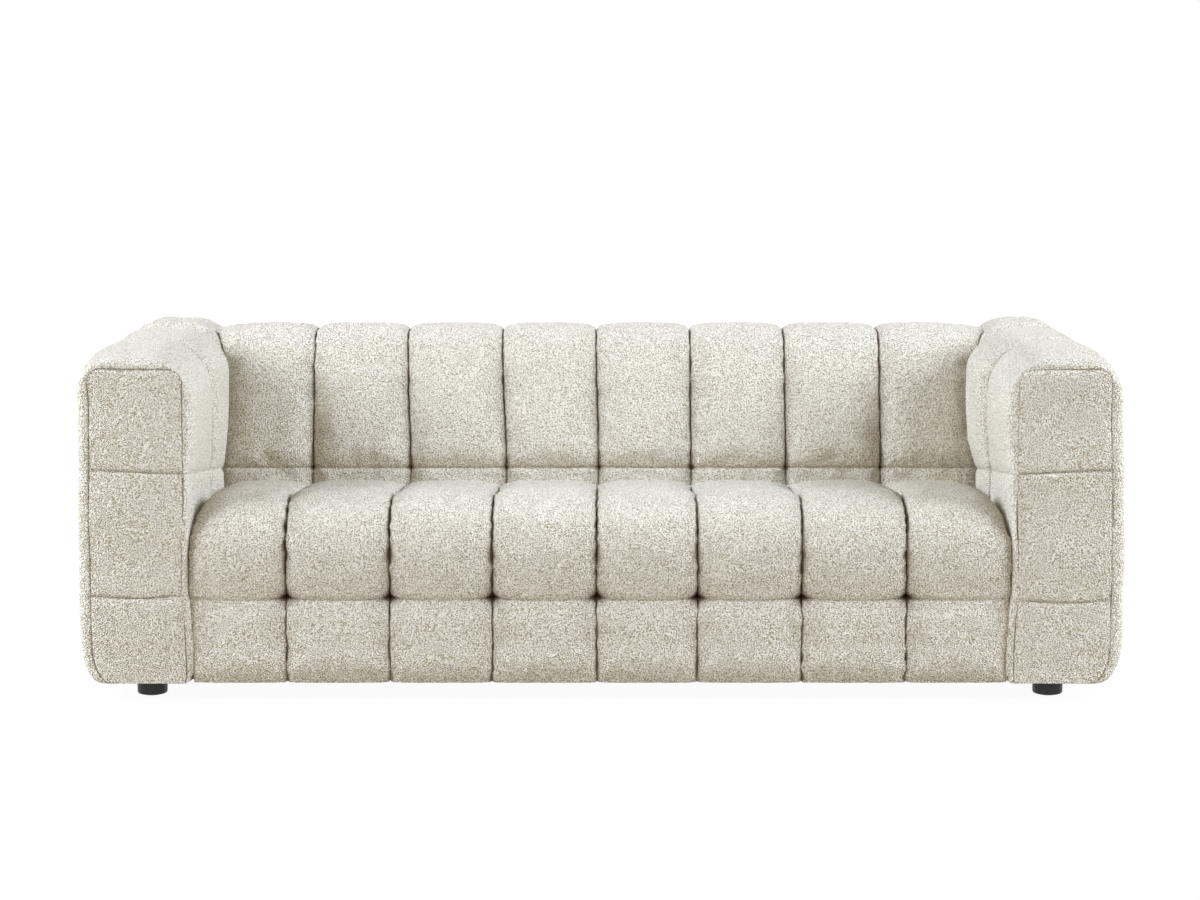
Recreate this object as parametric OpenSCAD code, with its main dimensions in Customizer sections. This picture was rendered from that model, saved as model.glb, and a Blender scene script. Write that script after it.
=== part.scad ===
// A three-seat tuxedo sofa with fixed, channel-quilted upholstery, in millimetres.
// The origin is on the floor under the middle of the sofa, +X is to the right and -Y is the front.
// Places along the depth are written as distances back from the foremost face, and at() turns them into Y.

/* [Overall] */
// Width over both arms
sofa_w = 2200; // [1900:10:2400]
// Depth from the arm fronts to the outside of the back
sofa_d = 880; // [850:10:960]
// Height of the arms and of the back channels
top_h = 735; // [700:5:790]
// How far the two rear corners stand above the arms
corner_rise = 13; // [4:1:20]
// Radius of the top of a rear corner beside the back
corner_round = 50; // [40:1:70]
// Height of the legs under the body
leg_h = 38; // [30:1:70]

/* [Arms] */
// Width of an arm at the seat
arm_w = 238; // [226:2:256]
// How much narrower a rear corner is than its arm
corner_step = 10; // [4:1:14]
// Thickness of the padded arm cover at its sides
arm_pad = 28; // [24:1:34]
// Thickness of the padded covers on the tops of the arms and the back
top_pad = 35; // [30:1:45]
// Radius of the long top edges of an arm
arm_round = 100; // [80:2:106]
// Distance from the arm front back to the cross seam over the arm
arm_seam_d = 380; // [320:10:430]
// How far the inner face of an arm swells over the seat
arm_swell = 10; // [2:1:14]
// Inset of the front panel's edge seam from the outer side of the arm
panel_inset = 31; // [20:1:36]
// Radius of the front panel's top corners
panel_round = 25; // [15:1:40]
// Height of the upper seam across the front panel
panel_seam_h = 489; // [475:1:520]
// Depth of the drawn-in cross seams on arms and corners
seam_sink = 13; // [6:1:16]
// Half width of the hollow beside a cross seam
seam_spread = 30; // [20:1:40]
// Radius of the rounded front and rear edges of the arm covers
edge_round = 45; // [35:1:55]

/* [Seat] */
// Number of channels across the back, and of seams carried on over the seat
channel_count = 8; // [6:1:9]
// Height of the front edge of the seat, at the crown of a channel
seat_h = 433; // [420:1:450]
// Thickness of the quilted seat cover over its foam core
seat_quilt = 88; // [75:1:95]
// Height of the tufted seam across the front
front_seam_h = 222; // [205:1:240]
// Distance from the front back to the tufted seam across the seat
cross_seam_d = 300; // [260:5:330]

/* [Back] */
// Thickness of the back at the seat, from its face to the outside
back_t = 285; // [270:5:320]
// Lean of the back's face
back_rake = 16; // [12:1:18]
// How far the back's cross seam lies under the front edge of the seat
back_seam_drop = 14; // [8:1:20]
// Thickness of the quilted back cover
back_quilt = 30; // [26:1:36]
// Thickness of the back foam
back_foam_t = 40; // [30:1:50]
// Thickness of the plain outside back cover
outside_back_t = 8; // [5:1:12]
// Height of the flap of the back cover that is stapled down the outside
back_flap_h = 60; // [45:1:70]

/* [Frame] */
// Thickness of the rails and posts
rail_t = 22; // [18:1:26]
// Thickness of the arm boards
board_t = 18; // [15:1:20]
// Thickness of the hardboard arm panels
panel_t = 3; // [2:0.5:4]
// Height of the rails that carry the springs
seat_rail_h = 200; // [180:5:205]
// Height of the other base rails
base_rail_h = 100; // [90:5:120]
// Height of the arm and back rails
arm_rail_h = 45; // [35:1:50]
// Height up to which the arm covers are open to the base frame
arm_opening_h = 300; // [280:5:310]
// Length of a corner block along the depth
block_l = 70; // [60:2:90]
// Height of a corner block
block_h = 40; // [34:1:50]
// Width of the arm and back posts
post_w = 45; // [35:1:55]
// Number of posts in the back
post_count = 5; // [3:1:7]
// Distance from the middle to each cross rail
cross_rail_x = 300; // [220:10:380]
// Diameter of the bolts that join arms and base
bolt_d = 8; // [6:1:10]
// Diameter of a bolt head
bolt_head_d = 20; // [16:1:22]
// Thickness of a bolt head
bolt_head_t = 4; // [3:0.5:5]
// Width across a bolt's nut
nut_w = 13; // [12:1:16]
// Thickness of a nut
nut_t = 6; // [5:0.5:8]

/* [Springs and cloth] */
// Number of seat springs
spring_count = 8; // [6:1:9]
// Width of a spring's loops
spring_w = 50; // [40:1:60]
// Bends in one spring
bend_count = 14; // [10:1:16]
// Thickness of the spring wire
wire_t = 3.8; // [3:0.1:5]
// Diameter of the tie wires
tie_d = 2.4; // [2:0.1:3]
// Thickness of the metal of a spring clip
clip_t = 1.5; // [1:0.1:2]
// Width of a spring clip
clip_w = 16; // [12:1:20]
// Thickness of the felt on the springs
felt_t = 2; // [1:0.1:4]
// Thickness of the dust cloth under the body
cloth_t = 1; // [0.8:0.1:2]
// Least gap between two webs across the back
web_gap = 10; // [6:1:25]
// Width of a back web
web_w = 50; // [40:1:55]
// Thickness of a web
web_t = 2; // [1.5:0.1:3]

/* [Legs] */
// Diameter of a leg at its top
leg_d = 65; // [56:1:72]
// Diameter of a leg near the floor
leg_foot_d = 64; // [52:1:68]
// Radius of a leg's bottom edge
leg_edge = 5; // [2:0.5:8]
// Distance from the sofa's side to a leg's axis
leg_side = 140; // [135:1:165]
// Room between a leg's T-nut and the rail beside it
leg_gap = 0.7; // [0.5:0.1:6]
// Diameter of the stud in a leg
stud_d = 8; // [6:1:10]
// Depth of the stud in the leg
stud_sunk = 20; // [15:1:24]
// Diameter of the glide under a leg
glide_d = 40; // [30:1:46]
// Thickness of a glide
glide_t = 5; // [4:0.5:7]
// How far a glide stands out of its leg
glide_proud = 2; // [1:0.5:3]
// Diameter of the threaded barrel of a T-nut
barrel_d = 11; // [11:0.5:13]
// Length of the barrel
barrel_l = 12; // [8:1:16]
// Diameter of a T-nut's flange
flange_d = 22; // [20:1:24]
// Thickness of the flange
flange_t = 1.5; // [1:0.1:2]

/* [Hidden] */

boucle = "antiquewhite";
foam = "lemonchiffon";
timber = "burlywood";
plywood = "wheat";
hardboard = "peru";
steel = "silver";
felt = "dimgray";
black = "black";

$fn = 48;
// Room between a soft piece and its neighbour
clear = 0.3;
// Overrun of a cut past the face that it opens
over = 1;

half_w = sofa_w / 2;
front_y = -sofa_d / 2;
corner_w = arm_w - corner_step;
back_half = half_w - corner_w;
seat_half = half_w - arm_w - clear;
pitch = 2 * back_half / channel_count;
body_z = leg_h;
frame_z = body_z + cloth_t;
inner_top = top_h - top_pad;
seat_depth = sofa_d - back_t;

// Planes of the frame along the depth
rail_front = arm_pad + clear + board_t;
front_rail_back = rail_front + rail_t;
rear_skin = sofa_d - outside_back_t;
rear_board_back = rear_skin - arm_pad;
rear_rail_back = rear_board_back - board_t;
rear_rail_front = rear_rail_back - rail_t;
back_board_t = outside_back_t;
back_board_front = rear_skin - back_board_t;

// Planes of the arm frame, from the middle outwards
arm_in = half_w - arm_w + arm_pad;
arm_out = half_w - arm_pad;
arm_rail_in = arm_in + panel_t;
arm_rail_out = arm_out - panel_t;

// The rounded outer hem of an arm cover, and how far the base frame stays inside it
outer_hem = arm_pad * 1.5;
outer_hem_h = outer_hem * 2;
base_out = half_w - outer_hem - arm_pad / 2;
block_in = arm_rail_in + rail_t;
block_out = base_out - clear - rail_t;

// The frame's top corners are cut off inside the rounded tops of the arms
shoulder = arm_round / 2;
arm_rail_top = inner_top - shoulder;

// Levels of the seat
seat_rail_top = frame_z + seat_rail_h;
spring_z = seat_rail_top + clip_t;
tie_z = spring_z + wire_t;
felt_z = tie_z + tie_d;
core_z = felt_z + felt_t;
core_top = seat_h - seat_quilt;
back_seam_h = seat_h - back_seam_drop;
back_foot_z = core_z + clear;

// Face of the back, and of the seam between arm and corner, at height z
function lean(z) = max(0, z - back_seam_h) * tan(back_rake);
function face(z) = seat_depth + lean(z);
function mix(a, b, share) = a + (b - a) * share;
function at(d) = front_y + d;

spring_rail_front = seat_depth + back_quilt + back_foam_t / 2;
spring_rail_back = spring_rail_front + rail_t;
web_d = back_quilt + back_foam_t + clear;
post_d = web_d + web_t;

// A box between two corners whose middle number is the distance back from the front
module block(low, high) {
  translate([low.x, at(low.y), low.z]) cube(high - low);
}

// A right-hand piece, turned over to the left
module left() {
  mirror([1, 0, 0]) children();
}

// A rod that runs back from the front end given
module rod_back(x, d, z, diameter, length) {
  translate([x, at(d), z]) rotate([-90, 0, 0]) cylinder(d = diameter, h = length);
}

// An outline across the width, carried back from depth d0 to depth d1
module along(d0, d1, outline) {
  translate([0, at(d1), 0])
    rotate([90, 0, 0])
      linear_extrude(d1 - d0) polygon(outline);
}

// An outline of depths and heights, carried across from x0 to x1
module across(x0, x1, outline) {
  translate([x0, front_y, 0])
    rotate([90, 0, 90])
      linear_extrude(x1 - x0) polygon(outline);
}

// A soft skin through rings of equal length, closed at both ends by the faces given for one end
module skin(rings, end) {
  n = len(rings[0]);
  m = len(rings);
  sides = [for (i = [0 : m - 2], j = [0 : n - 1])
    let (a = i * n + j, b = i * n + (j + 1) % n)
      each [[a, b + n, b], [a, a + n, b + n]]];
  far_end = [for (f = end) [for (k = [len(f) - 1 : -1 : 0]) f[k] + (m - 1) * n]];
  polyhedron([for (ring = rings) each ring], concat(sides, end, far_end), convexity = 6);
}

// Crown of a channel: share u of its width, from one seam to the next
function crown(u, power) = sqrt(1 - pow(abs(2 * u - 1), power));
channel_power = 3;
shoulder_power = 2;
column_shares = [0, 0.06, 0.2, 0.5, 0.8, 0.94];
last_channel = channel_count - 1;

// Channels are counted from the right. Right seam of a channel, the outer ones being cut short
// where the arms stand
function seam_x(i, half) = max(-half, min(half, back_half - i * pitch));
function column_x(i, u, half) = mix(seam_x(i, half), seam_x(i + 1, half), u);

// Every row of a quilt holds its crown, its seam and its end beside an arm, each as depth and height
function quilt_point(rows, i, u) =
  let (at_end = (i == 0 && u < 0.5) || (i == last_channel && u > 0.5),
       power = at_end ? shoulder_power : channel_power)
    [for (row = rows) mix(at_end ? row[2] : row[1], row[0], crown(u, power))];
function to_ring(x, outline) = [for (p = outline) [x, at(p.x), p.y]];

// Triangles that close an end of a quilt: its rows in spans, each fanned round a corner of the
// lining. Last holds each span's last row, and the corners are met from the last to the first
function fan(first, last, hub) = [for (k = [first : 1 : last - 1]) [k, k + 1, hub]];
function end_faces(last) =
  [for (j = [0 : len(last) - 1])
    let (first = j == 0 ? 0 : last[j - 1], hub = last[len(last) - 1] + len(last) - j)
      each concat(j == 0 ? [] : [[first, hub, hub + 1]], fan(first, last[j], hub))];

module quilt(rows, lining, last, half) {
  skin(concat(
    [for (i = [0 : last_channel], u = column_shares)
      to_ring(column_x(i, u, half), concat(quilt_point(rows, i, u), lining))],
    [to_ring(-half, concat(quilt_point(rows, last_channel, 1), lining))]),
    end_faces(last));
}

// Seat cover, from the hem under the front, over the front edge, to the foot of the back.
// The shares in the first two tables are of the front padding and of the height of the band or
// the front face: crown, seam and end depths, then the height
band_shares = [[0.22, 0.35, 0.35, 0], [0.08, 0.3, 0.3, 0.08], [0.05, 0.28, 0.28, 0.5],
  [0.1, 0.33, 0.3, 0.88], [0.28, 0.53, 0.36, 0.975], [0.37, 0.66, 0.42, 1]];
face_shares = [[0.2, 0.54, 0.36, 0.033], [0.05, 0.43, 0.34, 0.13], [0, 0.43, 0.38, 0.32],
  [0.09, 0.54, 0.5, 0.55]];
// Depth as a share of the way to the cross seam and height as a share of the quilt, three times
edge_shares = [[0.08, 0.49, 0.13, 0.31, 0.11, 0.03], [0.2, 0.85, 0.24, 0.6, 0.21, 0.22],
  [0.4, 1, 0.42, 0.75, 0.42, 0.33], [0.67, 0.93, 0.67, 0.68, 0.67, 0.37],
  [0.9, 0.75, 0.9, 0.5, 0.9, 0.33], [1, 0.63, 1, 0.34, 1, 0.27]];
// Depth as a share of the way from the cross seam to the back, then the three heights
rear_shares = [[0.1, 0.66, 0.4, 0.3], [0.44, 0.7, 0.5, 0.36], [0.85, 0.53, 0.38, 0.3],
  [1, 0.42, 0.32, 0.26]];
seat_end = seat_depth - clear;
seat_rows = concat(
  [for (s = band_shares) let (z = mix(body_z, front_seam_h, s[3]))
    [for (k = [0 : 2]) [s[k] * rail_front, z]]],
  [for (s = face_shares) let (z = mix(front_seam_h, seat_h, s[3]))
    [for (k = [0 : 2]) [s[k] * rail_front, z]]],
  [for (s = edge_shares)
    [for (k = [0 : 2]) [s[2 * k] * cross_seam_d, core_top + s[2 * k + 1] * seat_quilt]]],
  [for (s = rear_shares) let (d = mix(cross_seam_d, seat_end, s[0]))
    [for (k = [1 : 3]) [d, core_top + s[k] * seat_quilt]]]);
seat_lining = [[seat_end, core_top + clear], [rail_front - clear, core_top + clear],
  [rail_front - clear, body_z]];
band_last = len(band_shares) - 1;
cross_last = band_last + len(face_shares) + len(edge_shares);
seat_last = [band_last, cross_last, len(seat_rows) - 1];

module seat_cover() {
  color(boucle) quilt(seat_rows, seat_lining, seat_last, seat_half);
}

// Back cover, from its foot behind the seat, up the leaning face and over the top to the flap.
// Shares of the height under the seam, then crown and seam depths as shares of the quilt
foot_shares = [[0, 0, 0.3], [0.85, 0, 0.45], [0.97, 0.04, 0.6], [1, 0.14, 0.68]];
// Shares of the height over the seam, then the same two depths
lean_shares = [[0.02, 0.04, 0.6], [0.07, -0.17, 0.5], [0.25, -0.3, 0.45], [0.5, -0.33, 0.42],
  [0.7, -0.27, 0.4], [0.84, -0.03, 0.45]];
// Shares of the top's depth and of its padding, for the crown and then for the seam
crest_shares = [[0.02, 0.46, 0.07, 0.14], [0.16, 0.88, 0.2, 0.49], [0.38, 1, 0.4, 0.58],
  [0.67, 0.95, 0.66, 0.52], [0.88, 0.58, 0.86, 0.22]];
// Shares of the flap's height and of its thickness
flap_shares = [[0, 0.6, 0.2], [0.5, 1, 0.6], [1, 1, 1]];
flap_front = back_board_front + clear;
function three(crown_point, seam_point) = [crown_point, seam_point, seam_point];
back_rows = concat(
  [for (s = foot_shares) let (z = mix(back_foot_z, back_seam_h, s[0]))
    three([face(z) + s[1] * back_quilt, z], [face(z) + s[2] * back_quilt, z])],
  [for (s = lean_shares) let (z = mix(back_seam_h, top_h, s[0]))
    three([face(z) + s[1] * back_quilt, z], [face(z) + s[2] * back_quilt, z])],
  [for (s = crest_shares) let (d = face(top_h), deep = rear_skin - d)
    three([d + s[0] * deep, inner_top + s[1] * top_pad],
      [d + s[2] * deep, inner_top + s[3] * top_pad])],
  [for (s = flap_shares) let (z = inner_top - s[0] * back_flap_h)
    three([mix(flap_front, rear_skin, s[1]), z], [mix(flap_front, rear_skin, s[2]), z])]);
back_lining = [[flap_front, inner_top - back_flap_h], [flap_front, inner_top],
  [face(inner_top) + back_quilt, inner_top], [seat_depth + back_quilt, back_seam_h],
  [seat_depth + back_quilt, back_foot_z]];
foot_last = len(foot_shares) - 1;
lean_last = foot_last + len(lean_shares);
flap_last = len(back_rows) - 1;
back_last = [foot_last, lean_last, lean_last + len(crest_shares), flap_last, flap_last];

module back_cover() {
  color(boucle) quilt(back_rows, back_lining, back_last, back_half - clear);
}

// Arm and corner covers. One side of the section has 17 points, each a distance in from the side
// and a height: the bottom edge, the upright side with its seams, and the top edge
groove_w = seam_sink / 2;
groove = seam_sink / 4;
inner_hem = arm_pad / 5;
inner_hem_h = inner_hem * 3;
inner_inset_share = 0.45;

function swell(z, z_top, z_seam) = max(0, sin(180 * (z - z_seam) / (z_top - z_seam)));
function side(inset, round_r, z_top, z_seam, bulge, hem, hem_h, cut) = concat(
  [for (a = [270 : -30 : 180])
    [inset + hem * (1 + cos(a)), body_z + hem_h * (1 + sin(a))]],
  [for (z = [front_seam_h - groove_w, front_seam_h, front_seam_h + groove_w,
    (front_seam_h + z_seam) / 2, z_seam - groove_w]) [inset, z]],
  [[inset + cut, z_seam]],
  [for (z = [z_seam + groove_w, (z_seam + z_top) / 2 - groove_w])
    [inset - bulge * swell(z, z_top, z_seam), z]],
  [for (a = [180 : -22.5 : 90])
    let (z = z_top - round_r * (1 - sin(a)))
      [inset + round_r * (1 + cos(a)) + bulge * swell(z, z_top, z_seam) * cos(a), z]]);

// The end of an arm or corner cover is a ladder between its two sides, closed at the top
side_points = 17;
arm_end_faces = concat(
  [for (k = [0 : side_points - 3])
    let (far = 2 * side_points - k)
      each [[k, k + 1, far - 1], [k, far - 1, far]]],
  [let (k = side_points - 2, far = 2 * side_points - k)
    each [[k, k + 1, k + 2], [k, k + 2, far], [k + 2, far - 1, far]]]);

// A section of an arm or corner: how far in it is drawn, its top radii, and its seam's height
function section(width, z_top, inset, inset_top, round_r, inner_r, z_seam, bulge, cut, inner_share) =
  let (inner = side(inset * inner_share, inner_r, z_top - inset_top, z_seam, bulge,
        inner_hem, inner_hem_h, cut),
       outer = side(inset, round_r, z_top - inset_top, z_seam, 0, outer_hem, outer_hem_h, 0),
       n = len(outer),
       centre = [half_w - width / 2, z_top - inset_top])
    concat([for (p = inner) [half_w - width + p.x, p.y]], [centre],
      [for (k = [n - 1 : -1 : 0]) [half_w - outer[k].x, outer[k].y]]);

// The seam along the inner face falls from the front panel's seam to the back's seam
function arm_seam_h(d) = mix(panel_seam_h, back_seam_h, d / seat_depth);
function full_section(d) =
  section(arm_w, top_h, 0, 0, arm_round, arm_round, arm_seam_h(d), arm_swell, groove, 1);
function drawn_section(d) =
  let (r = arm_round - seam_sink)
    section(arm_w, top_h, seam_sink, seam_sink, r, r, arm_seam_h(d), 0, groove, 1);
function panel_section() =
  section(arm_w, top_h, panel_inset, panel_inset, panel_round, panel_round, panel_seam_h, 0, 0,
    inner_inset_share);

// Depth of each ring round the front edge as a share of its radius, and how full the section is
edge_ring_shares = [[0.05, 0], [0.11, 0.08], [0.03, 0.25], [0.11, 0.55], [0.36, 0.85], [1, 1]];
// Rings beside a cross seam: distance as a share of the spread, and how far it is drawn in
seam_ring_shares = [[-1, 0], [-0.4, 0.35], [0, 1], [0.4, 0.35], [1, 0]];
seam_end_shares = [[-1, 0], [-0.4, 0.35], [0, 1]];
corner_start_shares = [[0, 1], [0.4, 0.35], [1, 0]];
corner_end_shares = [[1, 0], [0.4, 0.25], [0.12, 0.6], [0, 1]];

function ring_at(d, outline) = [for (p = outline) [p.x, at(d), p.y]];
function drawn_ring(d, share) = ring_at(d, mix(full_section(d), drawn_section(d), share));

// Behind the cross seam the rings lean more and more, until they follow the face of the back
function leaning_ring(share, offset, draw) =
  let (d = mix(arm_seam_d, seat_depth, share))
    [for (p = mix(full_section(d), drawn_section(d), draw))
      [p.x, at(mix(arm_seam_d, face(p.y) - clear, share) + offset), p.y]];

arm_rings = concat(
  [for (s = edge_ring_shares)
    ring_at(s[0] * edge_round, mix(panel_section(), full_section(s[0] * edge_round), s[1]))],
  [ring_at(mix(edge_round, arm_seam_d, 0.5), full_section(mix(edge_round, arm_seam_d, 0.5)))],
  [for (s = seam_ring_shares) drawn_ring(arm_seam_d + s[0] * seam_spread, s[1])],
  [leaning_ring(0.5, 0, 0)],
  [for (s = seam_end_shares) leaning_ring(1, s[0] * seam_spread, s[1])]);

// Heights at which the front panel is drawn in along its two seams
module panel_seams() {
  for (z = [front_seam_h, panel_seam_h])
    block([half_w - arm_w, -over, z - groove / 2], [half_w, groove, z + groove / 2]);
}

// The hollow of an arm, which the arm frame fills but for a gap all round
function arm_hollow(gap, low) = [
  [arm_in + gap, low], [base_out - gap, low], [arm_out - gap, body_z + outer_hem_h + gap],
  [arm_out - gap, arm_rail_top - gap], [arm_out - shoulder - gap, inner_top - gap],
  [arm_in + shoulder + gap, inner_top - gap], [arm_in + gap, arm_rail_top - gap]];

module arm_cover() {
  difference() {
    skin(arm_rings, arm_end_faces);
    along(arm_pad, sofa_d, arm_hollow(0, body_z - over));
    block([half_w - arm_w - arm_swell, rail_front, body_z - over],
      [arm_in + over, sofa_d, arm_opening_h]);
    panel_seams();
  }
}

module right_arm_cover() {
  color(boucle) arm_cover();
}

module left_arm_cover() {
  color(boucle) left() arm_cover();
}

// Rear corner: it starts on the lean of the back's face and ends upright at the rear
function corner_section(rise, inset, round_r, inner_r) =
  section(corner_w, top_h + rise, inset, inset, round_r, inner_r, back_seam_h, 0, 0,
    inset > 0 ? 1 : 0);
function corner_ring(share, offset, outline) =
  [for (p = outline)
    [p.x, at(mix(face(p.y) + clear, rear_skin, share) + offset), p.y]];
corner_full = corner_section(corner_rise, 0, arm_round, corner_round);
corner_start = corner_section(0, seam_sink, arm_round - seam_sink, arm_round - seam_sink);
corner_end = corner_section(0, panel_inset, arm_round - panel_inset, corner_round);
corner_rings = concat(
  [for (s = corner_start_shares)
    corner_ring(0, s[0] * seam_spread, mix(corner_full, corner_start, s[1]))],
  [corner_ring(0.5, 0, corner_full)],
  [for (s = corner_end_shares)
    corner_ring(1, -s[0] * edge_round, mix(corner_full, corner_end, s[1]))]);

module corner_cover() {
  difference() {
    skin(corner_rings, arm_end_faces);
    along(0, rear_board_back, arm_hollow(0, body_z - over));
    block([half_w - arm_w, 0, body_z - over], [arm_in + over, rear_board_back, arm_opening_h]);
  }
}

module right_corner_cover() {
  color(boucle) corner_cover();
}

module left_corner_cover() {
  color(boucle) left() corner_cover();
}

// Plain cover over the outside of the back, with round corners
module outside_back_cover() {
  reach = half_w - panel_inset;
  top = top_h - panel_inset;
  top_round = arm_round - panel_inset;
  color(boucle)
    translate([0, at(sofa_d), 0])
      rotate([90, 0, 0])
        linear_extrude(outside_back_t) {
          translate([-reach, body_z + outer_hem])
            square([2 * reach, top - top_round - body_z - outer_hem]);
          translate([-reach + top_round, body_z + outer_hem])
            square([2 * (reach - top_round), top - body_z - outer_hem]);
          translate([-reach + outer_hem, body_z])
            square([2 * (reach - outer_hem), top - top_round - body_z]);
          for (s = [-1, 1]) {
            translate([s * (reach - top_round), top - top_round]) circle(r = top_round);
            translate([s * (reach - outer_hem), body_z + outer_hem]) circle(r = outer_hem);
          }
        }
}

// Cloth under the body, with a hole for each leg's stud
module dust_cloth() {
  color(felt)
    difference() {
      union() {
        block([-base_out + clear, rail_front, body_z],
          [base_out - clear, rear_board_back - clear, frame_z]);
        block([-back_half + clear, rear_board_back - clear, body_z],
          [back_half - clear, rear_skin, frame_z]);
        for (s = [0, 1])
          mirror([s, 0, 0])
            block([arm_in + clear, arm_pad + clear, body_z], [base_out - clear, rail_front, frame_z]);
      }
      at_legs() translate([0, 0, body_z - over]) cylinder(d = barrel_d, h = cloth_t + 2 * over);
    }
}

// The foam core of the seat
module seat_foam() {
  color(foam)
    block([-seat_half, rail_front, core_z], [seat_half, seat_end, core_top]);
}

// The back foam stands on the felt, upright behind the seat and then leaning
foam_face = seat_depth + back_quilt + clear;
foam_top = inner_top - arm_rail_h / 4;
module back_foam() {
  color(foam)
    across(-back_half + clear, back_half - clear, [
      [foam_face, core_z], [foam_face, back_seam_h], [foam_face + lean(foam_top), foam_top],
      [foam_face + back_foam_t + lean(foam_top), foam_top], [foam_face + back_foam_t, back_seam_h],
      [foam_face + back_foam_t, seat_rail_top + block_h / 2],
      [spring_rail_front - clear, seat_rail_top + block_h / 2], [spring_rail_front - clear, core_z]]);
}

// The foam on an arm fills the cover above the rails, between the arm boards
module arm_foam() {
  along(rail_front, rear_rail_back, [
    [arm_in + clear, arm_rail_top], [arm_out - clear, arm_rail_top],
    [arm_out - shoulder - clear, inner_top - clear], [arm_in + shoulder + clear, inner_top - clear]]);
}

module right_arm_foam() {
  color(foam) arm_foam();
}

module left_arm_foam() {
  color(foam) left() arm_foam();
}

// Felt over the springs
module felt_deck() {
  color(felt)
    block([-seat_half, rail_front, felt_z], [seat_half, spring_rail_front - clear, core_z]);
}

// Sinuous springs, front to rear between the two spring rails
spring_start = rail_front + rail_t / 2;
spring_len = spring_rail_front + rail_t / 2 - spring_start;
spring_step = 2 * seat_half / spring_count;
points_per_bend = 5;
spring_points = bend_count * points_per_bend;
function spring_angle(k) = 180 * k / points_per_bend;
function spring_path(k) =
  [(spring_w - wire_t) / 2 * sin(spring_angle(k)), spring_len * k / spring_points];
function spring_normal(k) =
  let (slope = (spring_w - wire_t) / 2 * cos(spring_angle(k)) * PI * bend_count / spring_len,
       size = sqrt(1 + slope * slope))
    [1 / size, -slope / size];

module spring() {
  linear_extrude(wire_t)
    polygon(concat(
      [for (k = [0 : spring_points]) spring_path(k) + spring_normal(k) * wire_t / 2],
      [for (k = [spring_points : -1 : 0]) spring_path(k) - spring_normal(k) * wire_t / 2]));
}

function spring_x(i) = -seat_half + (i + 0.5) * spring_step;

module seat_springs() {
  color(steel)
    for (i = [0 : spring_count - 1])
      translate([spring_x(i), at(spring_start), spring_z]) spring();
}

// A clip at each end of each spring: a plate on the rail and a lip over the wire
module spring_clip() {
  translate([-clip_w / 2, 0, 0]) cube([clip_w, rail_t / 2, clip_t]);
  translate([-clip_w / 2, rail_t / 2 - clip_t, 0])
    cube([clip_w, clip_t, wire_t + 2 * clip_t + clear]);
  translate([-clip_w / 2, 0, wire_t + clip_t + clear])
    cube([clip_w, rail_t / 2, clip_t]);
}

module spring_clips() {
  color(steel)
    for (i = [0 : spring_count - 1]) {
      translate([spring_x(i), at(spring_start), seat_rail_top])
        mirror([0, 1, 0]) translate([0, -clip_t, 0]) spring_clip();
      translate([spring_x(i), at(spring_start + spring_len), seat_rail_top])
        translate([0, -clip_t, 0]) spring_clip();
    }
}

// Two wires lie across the springs and are stapled to the seat's side rails
module tie_wires() {
  reach = arm_rail_in + rail_t / 2;
  color(steel)
    for (share = [1 / 3, 2 / 3])
      translate([-reach, at(spring_start + share * spring_len), tie_z + tie_d / 2])
        rotate([0, 90, 0]) cylinder(d = tie_d, h = 2 * reach);
}

// Elastic webs across the front of the back posts
web_face = seat_depth + web_d;
web_run = (inner_top - arm_rail_h - back_seam_h) / cos(back_rake);
web_count = floor(web_run / (web_w + web_gap));
web_pitch = web_run / web_count;
module back_webs() {
  color(felt)
    translate([-back_half + clear, at(web_face), back_seam_h])
      rotate([-back_rake, 0, 0])
        for (i = [0 : web_count - 1])
          translate([0, 0, (i + 0.5) * web_pitch - web_w / 2])
            cube([2 * (back_half - clear), web_t, web_w]);
}

// Base frame
module front_rail() {
  color(timber)
    difference() {
      block([-base_out + clear, rail_front, frame_z],
        [base_out - clear, front_rail_back, seat_rail_top]);
      at_bolts() front_bolt_hole();
    }
}

module spring_rail() {
  color(timber)
    block([-arm_rail_in, spring_rail_front, frame_z],
      [arm_rail_in, spring_rail_back, seat_rail_top]);
}

module rear_rail() {
  color(timber)
    difference() {
      block([-base_out + clear, rear_rail_front, frame_z],
        [base_out - clear, rear_rail_back, frame_z + base_rail_h]);
      at_bolts() rear_bolt_hole();
    }
}

module seat_side_rail() {
  block([arm_rail_in, front_rail_back, frame_z], [block_in, rear_rail_front, tie_z]);
}

module right_seat_side_rail() {
  color(timber) seat_side_rail();
}

module left_seat_side_rail() {
  color(timber) left() seat_side_rail();
}

module base_side_rail() {
  block([block_out, front_rail_back, frame_z],
    [block_out + rail_t, rear_rail_front, frame_z + base_rail_h]);
}

module right_base_side_rail() {
  color(timber) base_side_rail();
}

module left_base_side_rail() {
  color(timber) left() base_side_rail();
}

module cross_rails() {
  color(timber)
    for (s = [-1, 1])
      translate([s * cross_rail_x - rail_t / 2, 0, 0])
        block([0, front_rail_back, frame_z], [rail_t, spring_rail_front, frame_z + base_rail_h]);
}

// Arm frame: a board at each end, rails between them, posts and hardboard panels
module arm_front_board() {
  difference() {
    along(arm_pad + clear, rail_front, arm_hollow(clear, frame_z));
    at_bolts() front_bolt_hole();
  }
}

module right_arm_front_board() {
  color(plywood) arm_front_board();
}

module left_arm_front_board() {
  color(plywood) left() arm_front_board();
}

module arm_rear_board() {
  difference() {
    along(rear_rail_back, rear_board_back, arm_hollow(clear, frame_z));
    at_bolts() rear_bolt_hole();
  }
}

module right_arm_rear_board() {
  color(plywood) arm_rear_board();
}

module left_arm_rear_board() {
  color(plywood) left() arm_rear_board();
}

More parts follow.
